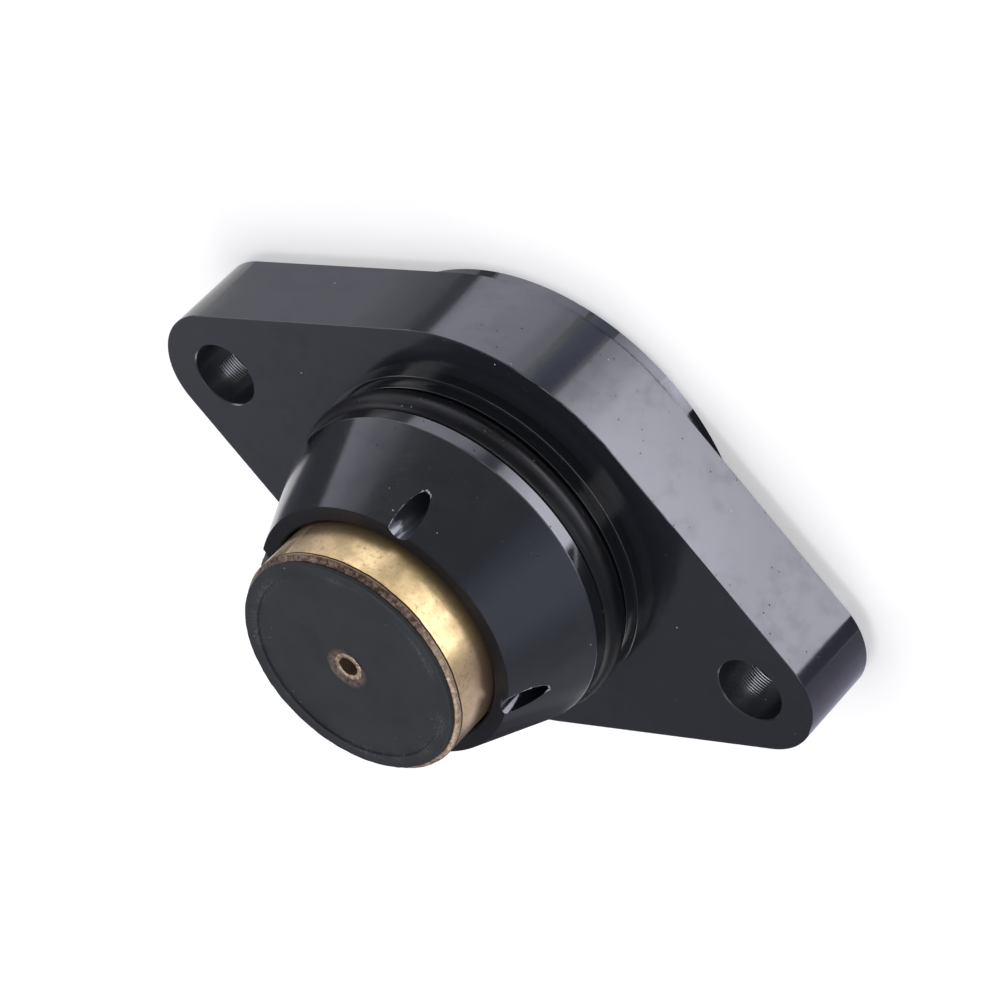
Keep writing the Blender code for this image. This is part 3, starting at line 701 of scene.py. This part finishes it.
for side in (-1, 1):
    wall = [(0.0, FACE_Z + 1), (HOLE_R + 1.12, FACE_Z + 1), (HOLE_R, FACE_Z - 0.12)]
    z = FACE_Z - 1.2
    while z > REAR_Z + 0.7:
        deep = FEED_DEPTH * min(1.0, max(0.1, (FACE_Z - 1.9 - z) / 0.8))
        wall += [(HOLE_R, z), (HOLE_R + deep, z - FEED / 2)]
        z -= FEED
    wall += [(HOLE_R, REAR_Z + 0.2), (HOLE_R + 1.2, REAR_Z - 1), (0.0, REAR_Z - 1)]
    rod = spun(wall, closed=False, steps=96, centre=(side * HALF_SPACING, 0.0))
    far_side = math.radians(VIEW_AZ + 180)
    for vert in rod.verts:
        off = Vector((vert.co.x - side * HALF_SPACING, vert.co.y))
        if HOLE_R + 1e-3 < off.length < HOLE_R + 0.05:
            turn = math.atan2(off.y, off.x) - far_side
            turn = abs((turn + math.pi) % (2 * math.pi) - math.pi)
            deep = (off.length - HOLE_R) * min(1.0, max(0.04, (0.5 - turn) / 0.12))
            off = off.normalized() * (HOLE_R + deep)
            vert.co.xy = (side * HALF_SPACING + off.x, off.y)
    tools.append((to_object(rod, "screw_hole", None), "DIFFERENCE"))
body = to_object(plate, "body_machined", anodised_body)
booleans(body, tools)
refinish(body, anodised_body, bare_metal, anodised_turned, anodised_drilled_painted_fill, anodised_passage_painted_fill)


def finish_of(face):
    """Which finish a face takes: 0 plain, 1 bare, 2 turned, 3 drilled and 4 passage, both
    lighter grey with painted fill light.
    """
    x, y, z = face.center / MM
    # Screw hole walls: lighter grey, painted fill light.
    if math.hypot(abs(x) - HALF_SPACING, y) < HOLE_R + 0.4 and abs(face.normal.z) < 0.9:
        return 3
    if face.normal.z > 0.42 and z > NOSE_Z - 0.6:
        return 2
    for k in range(4):
        cx, cy = vent_spot(k)
        if math.hypot(x - cx, y - cy) < VENT_MOUTH_R * 1.01 and z > STOP_Z:
            turn = math.degrees(math.atan2(y - cy, x - cx)) - 90 * k - 180
            turn = (turn + 180) % 360 - 180
            if -85 < turn < 8 and k != 2:
                return 1
            # Only the passage at k == 1 gets the lighter grey of painted fill light.
            return 4 if k == 1 else 0
    return 0


for face in body.data.polygons:
    face.material_index = finish_of(face)
keep_flats(body)
settle(body, "housing", "black_anodised", "valve_body")

# %% [markdown]
# ## Burrs round the passages
# Where the drill leaves the slanted cone it turns up a ragged edge, and the black
# layer is thin or rubbed off there. So a thin bright line runs round each mouth,
# broken here and there, with a torn bit at its far end. It is a curve along the edge
# of the hole, whose thickness changes from point to point.

# %% Make the burrs
BURR_POINTS = 160
CONE_RISE = (CONE_Z - NOSE_Z) / (NOSE_LAND_R - NOSE_OUT_R + 0.14)


def cone_height(r):
    """Height of the cone, or of the flat nose face, at a radius in mm."""
    return min(NOSE_Z, NOSE_Z + (r - NOSE_OUT_R + 0.14) * CONE_RISE)


for k in range(4):
    cx, cy = vent_spot(k)
    out = Vector((cx, cy, 0)).normalized()
    line = bpy.data.curves.new("vent_burr_%d" % (k + 1), "CURVE")
    line.dimensions = "3D"
    line.bevel_depth = 0.05 * MM
    line.bevel_resolution = 1
    track = line.splines.new("POLY")
    track.points.add(BURR_POINTS - 1)
    track.use_cyclic_u = True
    for j, point in enumerate(track.points):
        t = 2 * math.pi * j / BURR_POINTS
        where = Vector((cx + VENT_MOUTH_R * math.cos(t), cy + VENT_MOUTH_R * math.sin(t), 0))
        rough = noise.noise(Vector((where.x * 3.1, where.y * 3.1, 7.3 * k)))
        fine = noise.noise(Vector((where.x * 9.7, where.y * 9.7, 2.9 * k)))
        end = max(0.0, (where - Vector((cx, cy, 0))).dot(out) / VENT_MOUTH_R - 0.86) / 0.14
        push = 0.02 + 0.05 * fine + 0.1 * end * (0.5 + rough)
        where += out * push
        height = cone_height(math.hypot(where.x, where.y)) + 0.05 * end * fine
        point.co = (where.x * MM, where.y * MM, height * MM, 1.0)
        left = max(0.0, (where - Vector((cx, cy, 0))).dot(Vector((-out.y, out.x, 0))))
        broken = (0.35 + 1.4 * rough + 0.9 * fine) * left / VENT_MOUTH_R
        point.radius = max(0.02, broken + 3.6 * end * (0.5 + fine))
    line.materials.append(torn_edge)
    burr = bpy.data.objects.new("vent_burr_%d" % (k + 1), line)
    bpy.context.scene.collection.objects.link(burr)
    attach(burr, "housing")
print("burrs: 4, cone rises", round(CONE_RISE, 3), "mm per mm of radius")

# %% [markdown]
# ## Seal ring behind the cone
# A moulded nitrile cord lies in the groove, stretched over it and squeezed a little
# flat, so its section is an oval. It is spun from 48 points and keeps 0.06 mm clear of
# the groove's two sides, because a touching ring would flicker where it meets them.

# %% Make the nose seal ring
cord_low = FACE_Z + 2.25
cord_z = (cord_low + LAND_Z) / 2
half_z = (LAND_Z - cord_low) / 2 - 0.06
half_r = (ring_high.x - GROOVE_R) / 2 + 0.02
circle = []
for k in range(48):
    a = 2 * math.pi * k / 48
    circle.append((ring_high.x - half_r + half_r * math.cos(a), cord_z - half_z * math.sin(a)))
seal = to_object(spun(circle), "nose_seal_ring", nitrile, 60)
settle(seal, "housing", "nitrile", "nose_o_ring")

# %% [markdown]
# ## Piston
# A turned cup. The skirt is plain, and its front edge is a worn, brown chamfer under
# the rubber. A hairline runs round just behind it, where the rim was rolled over the
# rubber. It wanders and is deepest on one side, so a slow noise moves its vertices,
# and brown grime fills it. The chamfer gets narrower towards one side, by RIM_TAPER.

# %% Make the piston
SEAT_R = 12.0
RIM_Z = FRONT_Z - 0.5
EDGE_Z = RIM_Z - 0.55
LAND_TOP = 20.7
LAND_LOW = piston_low.z
crack = [(PISTON_R, EDGE_Z - 0.04), (PISTON_R - 0.24, EDGE_Z - 0.13),
         (PISTON_R, EDGE_Z - 0.23)]
piston_profile = [
    (SEAT_R, RIM_Z), (PISTON_R - 0.4, RIM_Z), (PISTON_R - 0.03, EDGE_Z + 0.03), *crack,
    (PISTON_R, LAND_TOP), (LAND_R, LAND_TOP), (LAND_R, LAND_LOW), (10.9, LAND_LOW),
    (10.9, 30.8), (10.1, 30.0), (1.85, 30.0), (1.85, FRONT_Z - 1.6), (SEAT_R, FRONT_Z - 1.6),
]
cup = spun(piston_profile)
soften(cup, ring_edges(cup, LAND_R, LAND_TOP), 0.15, 2)
crack_low = EDGE_Z - 0.24
for face in cup.faces:
    middle = face.calc_center_median()
    if abs(middle.z - EDGE_Z + 0.13) < 0.07 and middle.xy.length > PISTON_R - 0.3:
        face.material_index = 1
for vert in cup.verts:
    r = math.hypot(vert.co.x, vert.co.y)
    if crack_low < vert.co.z < RIM_Z + 0.01 and r > SEAT_R + 0.05:
        a = math.atan2(vert.co.y, vert.co.x)
        wander = noise.noise(Vector((math.cos(a) * 4, math.sin(a) * 4, 0.4)))
        tremble = noise.noise(Vector((math.cos(a) * 17, math.sin(a) * 17, 1.9)))
        worn = 0.5 + 0.5 * math.cos(a - math.radians(-5))
        if vert.co.z < RIM_Z - 0.1:
            vert.co.z += (0.12 * wander + 0.05 * tremble) * (0.4 + worn)
            across = (vert.co.x - 0.9 * vert.co.y + 6) / 12
            vert.co.z += RIM_TAPER * min(1.0, max(0.0, across))
        if r < PISTON_R - 0.1 and vert.co.z < RIM_Z - 0.3:
            shallow = 0.2 * min(1.0, max(0.0, 0.8 - worn + 0.4 * wander))
            vert.co.xy *= (r + shallow) / r
        if vert.co.z > RIM_Z - 0.02 or r > PISTON_R - 0.05:
            vert.co.xy *= 1 + 0.0022 * tremble * worn
piston = to_object(cup, "piston_turned", brass, 40)
piston.data.materials.append(grime)
settle(piston, "piston_group", "brass", "piston")

# %% [markdown]
# ## Facing
# A rubber disc, pressed into the brass. It stands half a millimetre proud of the rim
# and has a rounded shoulder, a raised lip and a shallow dish. Old rubber has swollen a
# little unevenly, so the shoulder and the inner edge of the lip aren't true circles.

# %% Make the facing
FACE_T = 1.3
DISH = 0.28
LIP_IN_R = 10.6
HUB_R = 1.6
facing_profile = [
    (SEAT_R - 0.01, FRONT_Z), (SEAT_R - 0.01, FRONT_Z - FACE_T), (HUB_R, FRONT_Z - FACE_T),
    (HUB_R, FRONT_Z - DISH), (4.0, FRONT_Z - DISH), (7.5, FRONT_Z - DISH),
    (LIP_IN_R - 0.1, FRONT_Z - DISH), (LIP_IN_R, FRONT_Z - 0.02),
]
disc = spun(facing_profile)
soften(disc, ring_edges(disc, SEAT_R - 0.01, FRONT_Z), 0.34, 6)
soften(disc, ring_edges(disc, LIP_IN_R, FRONT_Z - 0.02), 0.07, 3)
for vert in disc.verts:
    r = math.hypot(vert.co.x, vert.co.y)
    if vert.co.z > FRONT_Z - 0.4 and r > 8:
        a = math.atan2(vert.co.y, vert.co.x)
        slow = noise.noise(Vector((math.cos(a) * 3, math.sin(a) * 3, r * 0.2)))
        quick = noise.noise(Vector((vert.co.x * 1.3, vert.co.y * 1.3, 5.0)))
        grow = 0.06 * slow if r < 11.2 else 0.03 * slow - 0.03
        if r > 11.2:
            grow += 0.16 * max(0.0, math.cos(a - math.radians(200)))
        vert.co.xy *= 1 + (grow + 0.02 * quick) / r
        vert.co.z += min(0.0, 0.03 * quick - 0.015)
facing = to_object(disc, "piston_facing", facing_rubber, 50)
settle(facing, "piston_group", "facing", "piston_face_seal")

# %% [markdown]
# ## Jet
# The jet is a brass tube with a wide mouth and a collar that the rubber covers.
# Its ring is worn and dented, so noise moves the top of the spun tube. The bore below
# the mouth is brown with grime.

# %% Make the jet
jet_top = FRONT_Z - DISH + 0.14
JET_R = 1.55
MOUTH_R = 1.03
jet_profile = [
    (JET_R, jet_top), (JET_R, 33.4), (2.25, 33.4), (2.25, 33.0), (JET_R, 33.0),
    (JET_R, jet_low.z), (0.5, jet_low.z), (0.5, jet_top - 2.65), (MOUTH_R, jet_top - 2.0),
    (MOUTH_R, jet_top),
]
plug = spun(jet_profile, steps=96)
soften(plug, ring_edges(plug, JET_R, jet_top), 0.12, 3)
soften(plug, ring_edges(plug, MOUTH_R, jet_top), 0.1, 2)
for vert in plug.verts:
    if vert.co.z > jet_top - 0.3:
        lump = noise.noise(vert.co * 2.3) + 0.5 * noise.noise(vert.co * 6.1)
        vert.co.z = min(vert.co.z + 0.06 * lump - 0.02, FRONT_Z - 0.02)
        vert.co.xy *= 1 + 0.03 * lump
for face in plug.faces:
    middle = face.calc_center_median()
    face.material_index = int(middle.z < jet_top - 0.25 and middle.xy.length < MOUTH_R + 0.1)
jet = to_object(plug, "jet_plug", jet_brass, 40)
jet.data.materials.append(grime)
settle(jet, "piston_group", "brass", "pilot_jet")

# %% [markdown]
# ## Crust round the jet
# Oxide and grime have built up round the jet on the rubber, in an oval that is longer
# across the view than along it, and that reaches further behind the jet. It is a flat
# spun mound, stretched one way, pushed aside at its edge and made lumpy by noise.

# %% Make the crust round it
AWAY = math.radians(VIEW_AZ + 180)
CRUST_AT = Vector((math.cos(AWAY), math.sin(AWAY))) * 0.7
mound = spun([(JET_R - 0.15, 0.03), (1.75, 0.07), (2.0, 0.06), (2.25, 0.0), (2.5, -0.08),
              (2.6, -0.12), (JET_R - 0.15, -0.12)], steps=120)
for vert in mound.verts:
    r = math.hypot(vert.co.x, vert.co.y)
    a = math.atan2(vert.co.y, vert.co.x)
    reach = min(1.0, max(0.0, (r - JET_R) / 1.0))
    lump = noise.noise(Vector((vert.co.x * 0.9, vert.co.y * 0.9, 3.0)))
    fine = noise.noise(Vector((vert.co.x * 3.0, vert.co.y * 3.0, 8.0)))
    long_side = 1 + 0.1 * math.cos(2 * (a - AWAY - math.pi / 2))
    vert.co.xy *= 1 + reach * (long_side * (1 + 0.14 * lump) - 1)
    vert.co.xy += CRUST_AT * reach
    if vert.co.z > -0.1:
        vert.co.z += 0.03 * lump + 0.02 * fine
    vert.co.z += FRONT_Z - DISH
crust = to_object(mound, "jet_crust", crust_mat, 60)
settle(crust, "piston_group", "facing")

# %% [markdown]
# ## Return spring
# Round wire, wound with open turns between two closed ones that let it stand square.
# It gets shorter as the piston slides in, and only a mesh can be squashed, so it isn't
# a bevelled curve: a circle of the wire's size is spun with a rise at each step.

# %% Make the return spring
spring_low, spring_high = box_mm("return_spring")
WIRE_R = 0.6
coil_r = spring_high.x - WIRE_R
coil_low = spring_low.z + WIRE_R
closed_rise = 2 * WIRE_R + 0.2
open_rise = spring_high.z - WIRE_R - coil_low - 2 * closed_rise
wire = bmesh.new()
upright = Matrix.Translation((coil_r, 0, coil_low)) @ Matrix.Rotation(math.pi / 2, 4, "X")
bmesh.ops.create_circle(wire, cap_ends=True, segments=14, radius=WIRE_R, matrix=upright)
section = list(wire.verts) + list(wire.edges)
for turns, rise in ((1.0, closed_rise), (5.5, open_rise), (1.0, closed_rise)):
    steps = round(turns * 44)
    spun_on = bmesh.ops.spin(wire, geom=section, cent=(0, 0, 0), axis=(0, 0, 1),
                             dvec=(0, 0, rise / steps), angle=2 * math.pi * turns,
                             steps=steps, use_merge=False, use_duplicate=False)
    section = spun_on["geom_last"]
wire_end = [e for e in section if isinstance(e, bmesh.types.BMEdge)]
bmesh.ops.contextual_create(wire, geom=wire_end)
bmesh.ops.recalc_face_normals(wire, faces=wire.faces)
spring = to_object(wire, "coil_spring", spring_steel, 60)
settle(spring, "housing", "spring_steel", "return_spring")
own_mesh(spring)

# %% [markdown]
# ## Rear cap
# The cap's rim shows as the round boss behind the flange, with a fine seam between
# them. Its rear is plain: a flat ring with six flush screws, a dish that joins the
# four passages, and a pocket round the pilot seat. It is turned and drilled, so it is
# spun, and the holes are cut as on the body.

# %% Make the cap
RIM_R = CAP_R + 0.04
RIM_TOP = 1.7
SPIGOT_R = 16.6
DISH_R = 16.2
DISH_Z = 1.0
POCKET_R = 9.0
cap_profile = [
    (SPIGOT_R, cap_high.z), (SPIGOT_R, RIM_TOP), (RIM_R, RIM_TOP), (RIM_R, 0.0),
    (DISH_R, 0.0), (DISH_R, DISH_Z), (POCKET_R, DISH_Z), (POCKET_R, 3.0), (3.3, 3.0),
    (3.3, cap_high.z),
]
turned_cap = spun(cap_profile)
for radius, z, width in ((RIM_R, 0.0, 0.1), (RIM_R, RIM_TOP, 0.1), (DISH_R, 0.0, 0.15),
                         (POCKET_R, DISH_Z, 0.15), (SPIGOT_R, cap_high.z, 0.3)):
    soften(turned_cap, ring_edges(turned_cap, radius, z), width, 3)
cap = to_object(turned_cap, "cap_turned", anodised_cap)
SCREW_PCR = CAP_R - 2.5
cuts = []
for k in range(4):
    rod = spun([(0.0, 7.0), (VENT_R, 7.0), (VENT_R, -1.0), (0.0, -1.0)], closed=False,
               steps=40, centre=vent_spot(k))
    cuts.append((to_object(rod, "cap_vent", None), "DIFFERENCE"))
screw_spots = []
for k in range(6):
    a = math.radians(30 + 60 * k)
    screw_spots.append((SCREW_PCR * math.cos(a), SCREW_PCR * math.sin(a)))
for spot in screw_spots:
    rod = spun([(0.0, 2.7), (1.45, 2.7), (1.45, 1.18), (2.55, 0.08), (2.55, -1.0),
                (0.0, -1.0)], closed=False, steps=64, centre=spot)
    cuts.append((to_object(rod, "cap_screw_hole", None), "DIFFERENCE"))
booleans(cap, cuts)
refinish(cap, anodised_cap)
keep_flats(cap)
settle(cap, "housing", "black_anodised", "rear_cap")

# %% [markdown]
# ## The six cap screws
# Countersunk stainless screws with a hexagon socket, all from one spun profile. The
# socket is a spin of six steps, which is a hexagonal prism. Real screws end up turned
# anyhow when they are tightened, so each socket stands at an angle of its own.

# %% Make the six screws
for k, spot in enumerate(screw_spots):
    screw = spun([(0.0, 6.68), (0.95, 6.68), (1.2, 6.43), (1.2, 1.18), (2.3, 0.2),
                  (2.3, 0.08), (0.0, 0.08)], closed=False, steps=48, centre=spot)
    head = to_object(screw, "cap_bolt_%d" % (k + 1), stainless)
    socket = spun([(0.0, 0.98), (0.866, 0.98), (0.866, -1.0), (0.0, -1.0)], closed=False,
                  steps=6, centre=spot)
    turn = Matrix.Rotation(math.radians(30 + 37 * k), 3, "Z")
    bmesh.ops.rotate(socket, verts=socket.verts, cent=(*spot, 0), matrix=turn)
    booleans(head, [(to_object(socket, "socket", None), "DIFFERENCE")])
    refinish(head, stainless)
    settle(head, "housing", "stainless", "cap_screw_%d" % (k + 1))

# %% [markdown]
# ## Floor and light
# The part stands on a plain white floor under a white world, one large soft lamp
# overhead and three small ones at the sides. Together they light it at a level where
# white paper renders just white. The floor glows a little for the camera and for
# reflections, so that it reads as white there and still keeps the part's shadow.

# %% Floor and world
FLOOR_SIZE = 4000.0
FLOOR_GLOW = 0.46

floor_mat, tree, shader, _ = new_material("pale_floor")
path = add(tree, "LightPath").outputs
seen = add(tree, "Math", (path["Is Camera Ray"], path["Is Glossy Ray"]),
           operation="MAXIMUM")
seen = add(tree, "Math", (seen, path["Is Transmission Ray"]), operation="MAXIMUM")
glow = add(tree, "MapRange", (seen, 0.0, 1.0, 0.0, FLOOR_GLOW))
feed(tree, shader, {"Base Color": "d6d6d8", "Roughness": 0.9, "Specular IOR Level": 0.1,
                    "Emission Color": "ffffff", "Emission Strength": glow})
ground = bmesh.new()
bmesh.ops.create_grid(ground, x_segments=1, y_segments=1, size=FLOOR_SIZE)
floor = to_object(ground, "floor", floor_mat)
floor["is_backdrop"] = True

world = bpy.data.worlds.new("studio")
bpy.context.scene.world = world
world.use_nodes = True
backdrop = world.node_tree.nodes["Background"]
backdrop.inputs["Color"].default_value = linear("f4f5ff")
backdrop.inputs["Strength"].default_value = 0.28


def soft_lamp(name, azimuth, elevation, distance, size, watts):
    """A square softbox that faces the part."""
    light = bpy.data.lights.new(name, "AREA")
    light.energy = watts
    light.size = size
    obj = bpy.data.objects.new(name, light)
    bpy.context.scene.collection.objects.link(obj)
    a, e = math.radians(azimuth), math.radians(elevation)
    obj.location = Vector((math.cos(e) * math.cos(a), math.cos(e) * math.sin(a),
                           math.sin(e))) * distance
    obj.rotation_euler = (-obj.location).to_track_quat("-Z", "Y").to_euler()
    print(name, "at", [round(v, 2) for v in obj.location])


soft_lamp("top_lamp", 0, 88, 1.2, 1.0, 8.5)
soft_lamp("side_lamp", 172, 28, 1.0, 0.35, 1.2)
soft_lamp("rear_lamp", 300, 24, 1.0, 0.35, 1.2)
soft_lamp("front_lamp", 30, 38, 1.0, 0.35, 0.9)

# %% [markdown]
# ## Cards for the reflections
# A glossy black part is drawn by what it mirrors. In a product studio, pale and black
# cards stand round it. The flange's walls mirror the floor close to them, so these
# cards lie on the floor, each where a stretch of wall sees it. The camera doesn't
# see them, they cast no shadow and they don't light the floor.
#
# A card is a strip of faces through rows of points. Each point has its own glow, kept
# as an attribute of the mesh, so that a card can fade along a wall or up it. A mirror
# turns the direction of view twice as fast as the wall, which gives each row's way.

# %% Card helpers
CARD_Z = 0.05
SLANT = 1 / math.tan(math.radians(VIEW_EL))


def card(name, rows, glow, tint="eeefff"):
    """A card through rows of two points in mm. Each row has one glow, or one per point."""
    mat = bpy.data.materials.new(name)
    mat.use_nodes = True
    tree = mat.node_tree
    tree.nodes.clear()
    bm = bmesh.new()
    shade = bm.verts.layers.float.new("glow")
    verts = []
    for row, value in zip(rows, glow):
        made = [bm.verts.new(point) for point in row]
        values = value if isinstance(value, tuple) else (value, value)
        for vert, own in zip(made, values):
            vert[shade] = own
        verts.append(made)
    for one, two in zip(verts, verts[1:]):
        bm.faces.new((one[0], one[1], two[1], two[0]))
    level = add(tree, "Attribute", attribute_name="glow").outputs["Fac"]
    light = add(tree, "Emission", {"Color": tint, "Strength": level})
    add(tree, "OutputMaterial", {"Surface": light})
    obj = to_object(bm, name, mat)
    obj.visible_camera = False
    obj.visible_shadow = False
    obj.visible_diffuse = False
    obj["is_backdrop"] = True


def seen_in(foot, phi, near, far):
    """The stretch of floor that a wall facing phi mirrors between two heights."""
    turn = math.radians(2 * phi - VIEW_AZ)
    way = Vector((math.cos(turn), math.sin(turn), 0)) * SLANT
    start = Vector((foot[0], foot[1], CARD_Z))
    return [start + way * near, start + way * far]


def arc_row(phi, near=0.0, far=15.5):
    """A row beside the middle arc. It starts at the cap's rim, which it also serves."""
    a = math.radians(phi)
    out = Vector((math.cos(a), math.sin(a)))
    start = seen_in(out * CAP_R, phi, 0.0, 0.0)[0]
    reach = seen_in(out * ARC_R, phi, near, far)
    return [start if near == 0.0 else reach[0], reach[1]]


def ear_row(phi, near=0.0, far=15.5):
    """A row beside the round end of the right ear."""
    a = math.radians(phi)
    foot = (HALF_SPACING + EAR_R * math.cos(a), EAR_R * math.sin(a))
    return seen_in(foot, phi, near, far)


LEAN = math.degrees(lean)


def flank_row(t, side, near=0.0, far=15.5):
    """A row beside a straight flank: t runs from the middle arc to the ear."""
    inner = Vector((math.cos(lean), math.sin(lean))) * ARC_R
    outer = Vector((HALF_SPACING, 0)) + Vector((math.cos(lean), math.sin(lean))) * EAR_R
    foot = inner.lerp(outer, t)
    phi = LEAN if side > 0 else 180 - LEAN
    return seen_in((side * foot.x, foot.y), phi, near, far)


# %% [markdown]
# ## Cards beside the flange
# From right to left the walls mirror a violet grey card and a narrow dark one on the
# ear, a bright card on the right flank and the arc beside it, a dark strip and a
# medium card along the middle arc, and a dark and a grey card on the left flank. A
# thin black card close to the foot of the walls draws the dark line behind the flange.
#
# Just above the flange's face hangs a small flag, bright at its first edge and dark
# beyond, so that the land above the seal fades into dark there. A strip on the floor
# under each screw hole lights the rings in its wall.

# %% Cards beside the flange
card("bright_card",
     [arc_row(77.5, far=20), arc_row(73, far=20), arc_row(66, far=20), arc_row(58.6, far=20),
      flank_row(0, 1, far=20), flank_row(0.5, 1, far=20), flank_row(1, 1, far=20),
      ear_row(51.5, far=20)],
     [(2.1, 3.4), (3.1, 4.4), (4.6, 6.4), (4.9, 7.0), (5.0, 7.0), (5.0, 7.0), (5.2, 5.6),
      (5.2, 5.2)], "f0f0ff")
card("dark_strip", [arc_row(78.6, far=20), arc_row(82, far=20), arc_row(85, far=20)],
     [(0.9, 0.4), (0.95, 0.4), (1.2, 0.9)], "d8e2ff")
card("medium_card", [arc_row(86.5, far=36), arc_row(92, far=36), arc_row(100, far=36),
                     arc_row(113, far=36)], [1.6, 2.1, 2.2, 1.6])
card("dark_card", [arc_row(114, far=18), arc_row(119, far=18), flank_row(0, -1, far=18),
                   flank_row(0.3, -1, far=18)], [0.3, 0.3, 0.42, 0.72])
card("grey_card", [flank_row(0.3, -1, far=18), flank_row(1.05, -1, far=18)], [0.72, 0.72])
card("ear_strip", [ear_row(51, far=20), ear_row(46, far=20), ear_row(38, far=20)],
     [0.3, 0.3, 0.35], "dadcff")
card("ear_card", [ear_row(37.5), ear_row(20), ear_row(0), ear_row(-30), ear_row(-60)],
     [0.6, 0.72, 0.75, 0.8, 0.8], "e4e2ff")
flag = [((18.5, 15.75), (21.0, 16.85)), ((19.6, 15.05), (22.1, 16.1)),
        ((27.3, 10.35), (30, 11))]
card("land_flag", [[Vector((*spot, FACE_Z + 0.5)) for spot in row] for row in flag],
     [5.0, 0.1, 0.1])
seam = [arc_row(phi, 0.5, 1.5) for phi in (112, 105, 98, 92, 85, 78, 70, 64, LEAN)]
seam += [flank_row(1, 1, 0.5, 1.5), ear_row(52, 0.5, 1.5)]
for row in seam:
    for point in row:
        point.z = 2 * CARD_Z
card("seam_card", seam, [0.0] * len(seam))
ACROSS = Vector((-BACK.y, BACK.x, 0)).normalized()
ALONG = Vector((BACK.x, BACK.y, 0)).normalized()
for side in (-1, 1):
    middle = Vector((side * HALF_SPACING, 0, CARD_Z))
    ends = [middle + ALONG * far for far in (-3.0, 6.0)]
    card("hole_card", [[end - ACROSS * 0.8, end + ACROSS * 0.8] for end in ends], [7.0, 7.0])

# %% [markdown]
# ## Cards for the cap's rim
# The cap's rim ends under the right flank, where the wall turns from the bright card
# to a dark one. Its cards lie under the flange, where only the rim sees them.

# %% Cards under the flange for the cap's rim


def rim_row(phi, width=3.2):
    """A row that starts at the foot of the cap's rim, with its width in mm."""
    a = math.radians(phi)
    return seen_in((CAP_R * math.cos(a), CAP_R * math.sin(a)), phi, 0.0, width / SLANT)


card("rim_bright", [rim_row(62), rim_row(57), rim_row(51.9)], [6.4, 6.2, 4.4])
card("rim_dark", [rim_row(51.6), rim_row(45), rim_row(36)], [0.1, 0.1, 0.1])

# %% [markdown]
# ## Cards further away
# The cone, the land, the brass and the rubber face higher up, so they mirror what is
# further off. Long cards lie on the floor all round, dark, grey and light by turns,
# and two stand upright. One small black card darkens the middle of the brass. A
# tilted card stands where the flat facing mirrors it, and fades from side to side as
# the rubber does in the photograph.

# %% Cards further away


def far_row(azimuth, near, far):
    """A row on the floor that points away from the valve's axis."""
    a = math.radians(azimuth)
    return [Vector((r * math.cos(a), r * math.sin(a), CARD_Z)) for r in (near, far)]


def standing_row(azimuth, height, distance=500):
    """An upright row, from the floor to a height."""
    a = math.radians(azimuth)
    foot = Vector((distance * math.cos(a), distance * math.sin(a), CARD_Z))
    return [foot, foot + Vector((0, 0, height))]


card("far_grey_card", [far_row(az, near, 3000) for az, near in
                       ((-130, 33), (-100, 33), (-80, 36), (-70, 46), (-58, 60), (-40, 62),
                        (-23, 62), (8, 70))],
     [0.04, 0.04, 0.06, 0.12, 0.3, 0.4, 0.4, 0.4])
card("far_dark_card", [far_row(az, 68, 500) for az in (171.5, 186, 200, 212)],
     [0.2, 0.15, 0.15, 0.3])
card("far_light_card", [far_row(az, 75, 500) for az in (134, 145, 160, 170.5)],
     [0.4, 1.0, 1.35, 1.5])
card("standing_light_card", [standing_row(az, 90) for az in (134, 145, 160, 170.5)],
     [0.4, 1.0, 1.35, 1.5])
card("standing_soft_card", [standing_row(az, 110) for az in (-20, 5, 30, 55)],
     [0.36, 0.75, 0.8, 0.36], "dfe8ff")
card("brass_dark_card", [[Vector((-14, y, 3 * CARD_Z)), Vector((-3, y, 3 * CARD_Z))]
                         for y in (46, 66)], [0.0, 0.0])
centre = Vector((-0.303, -0.746, 0.592))
side_way = Vector((0.926, -0.377, 0.0))
lift = centre.cross(side_way).normalized()
rows = []
for k in (-2.5, -1, 0, 1, 2.5):
    rows.append([centre * 400 + side_way * 100 * k + lift * 200 * j for j in (-1, 1)])
card("face_flag", rows, [1.0, 0.6, 0.3, 0.2, 0.22])

# %% [markdown]
# ## Size of the scene
# The box of the finished scene is printed. It should agree with the box of the CAD model,
# since every piece was made to the frame's own places.

# %% Print the size of the scene
print("visual box in mm:", [[round(v * 1000, 2) for v in c] for c in plain_box()])
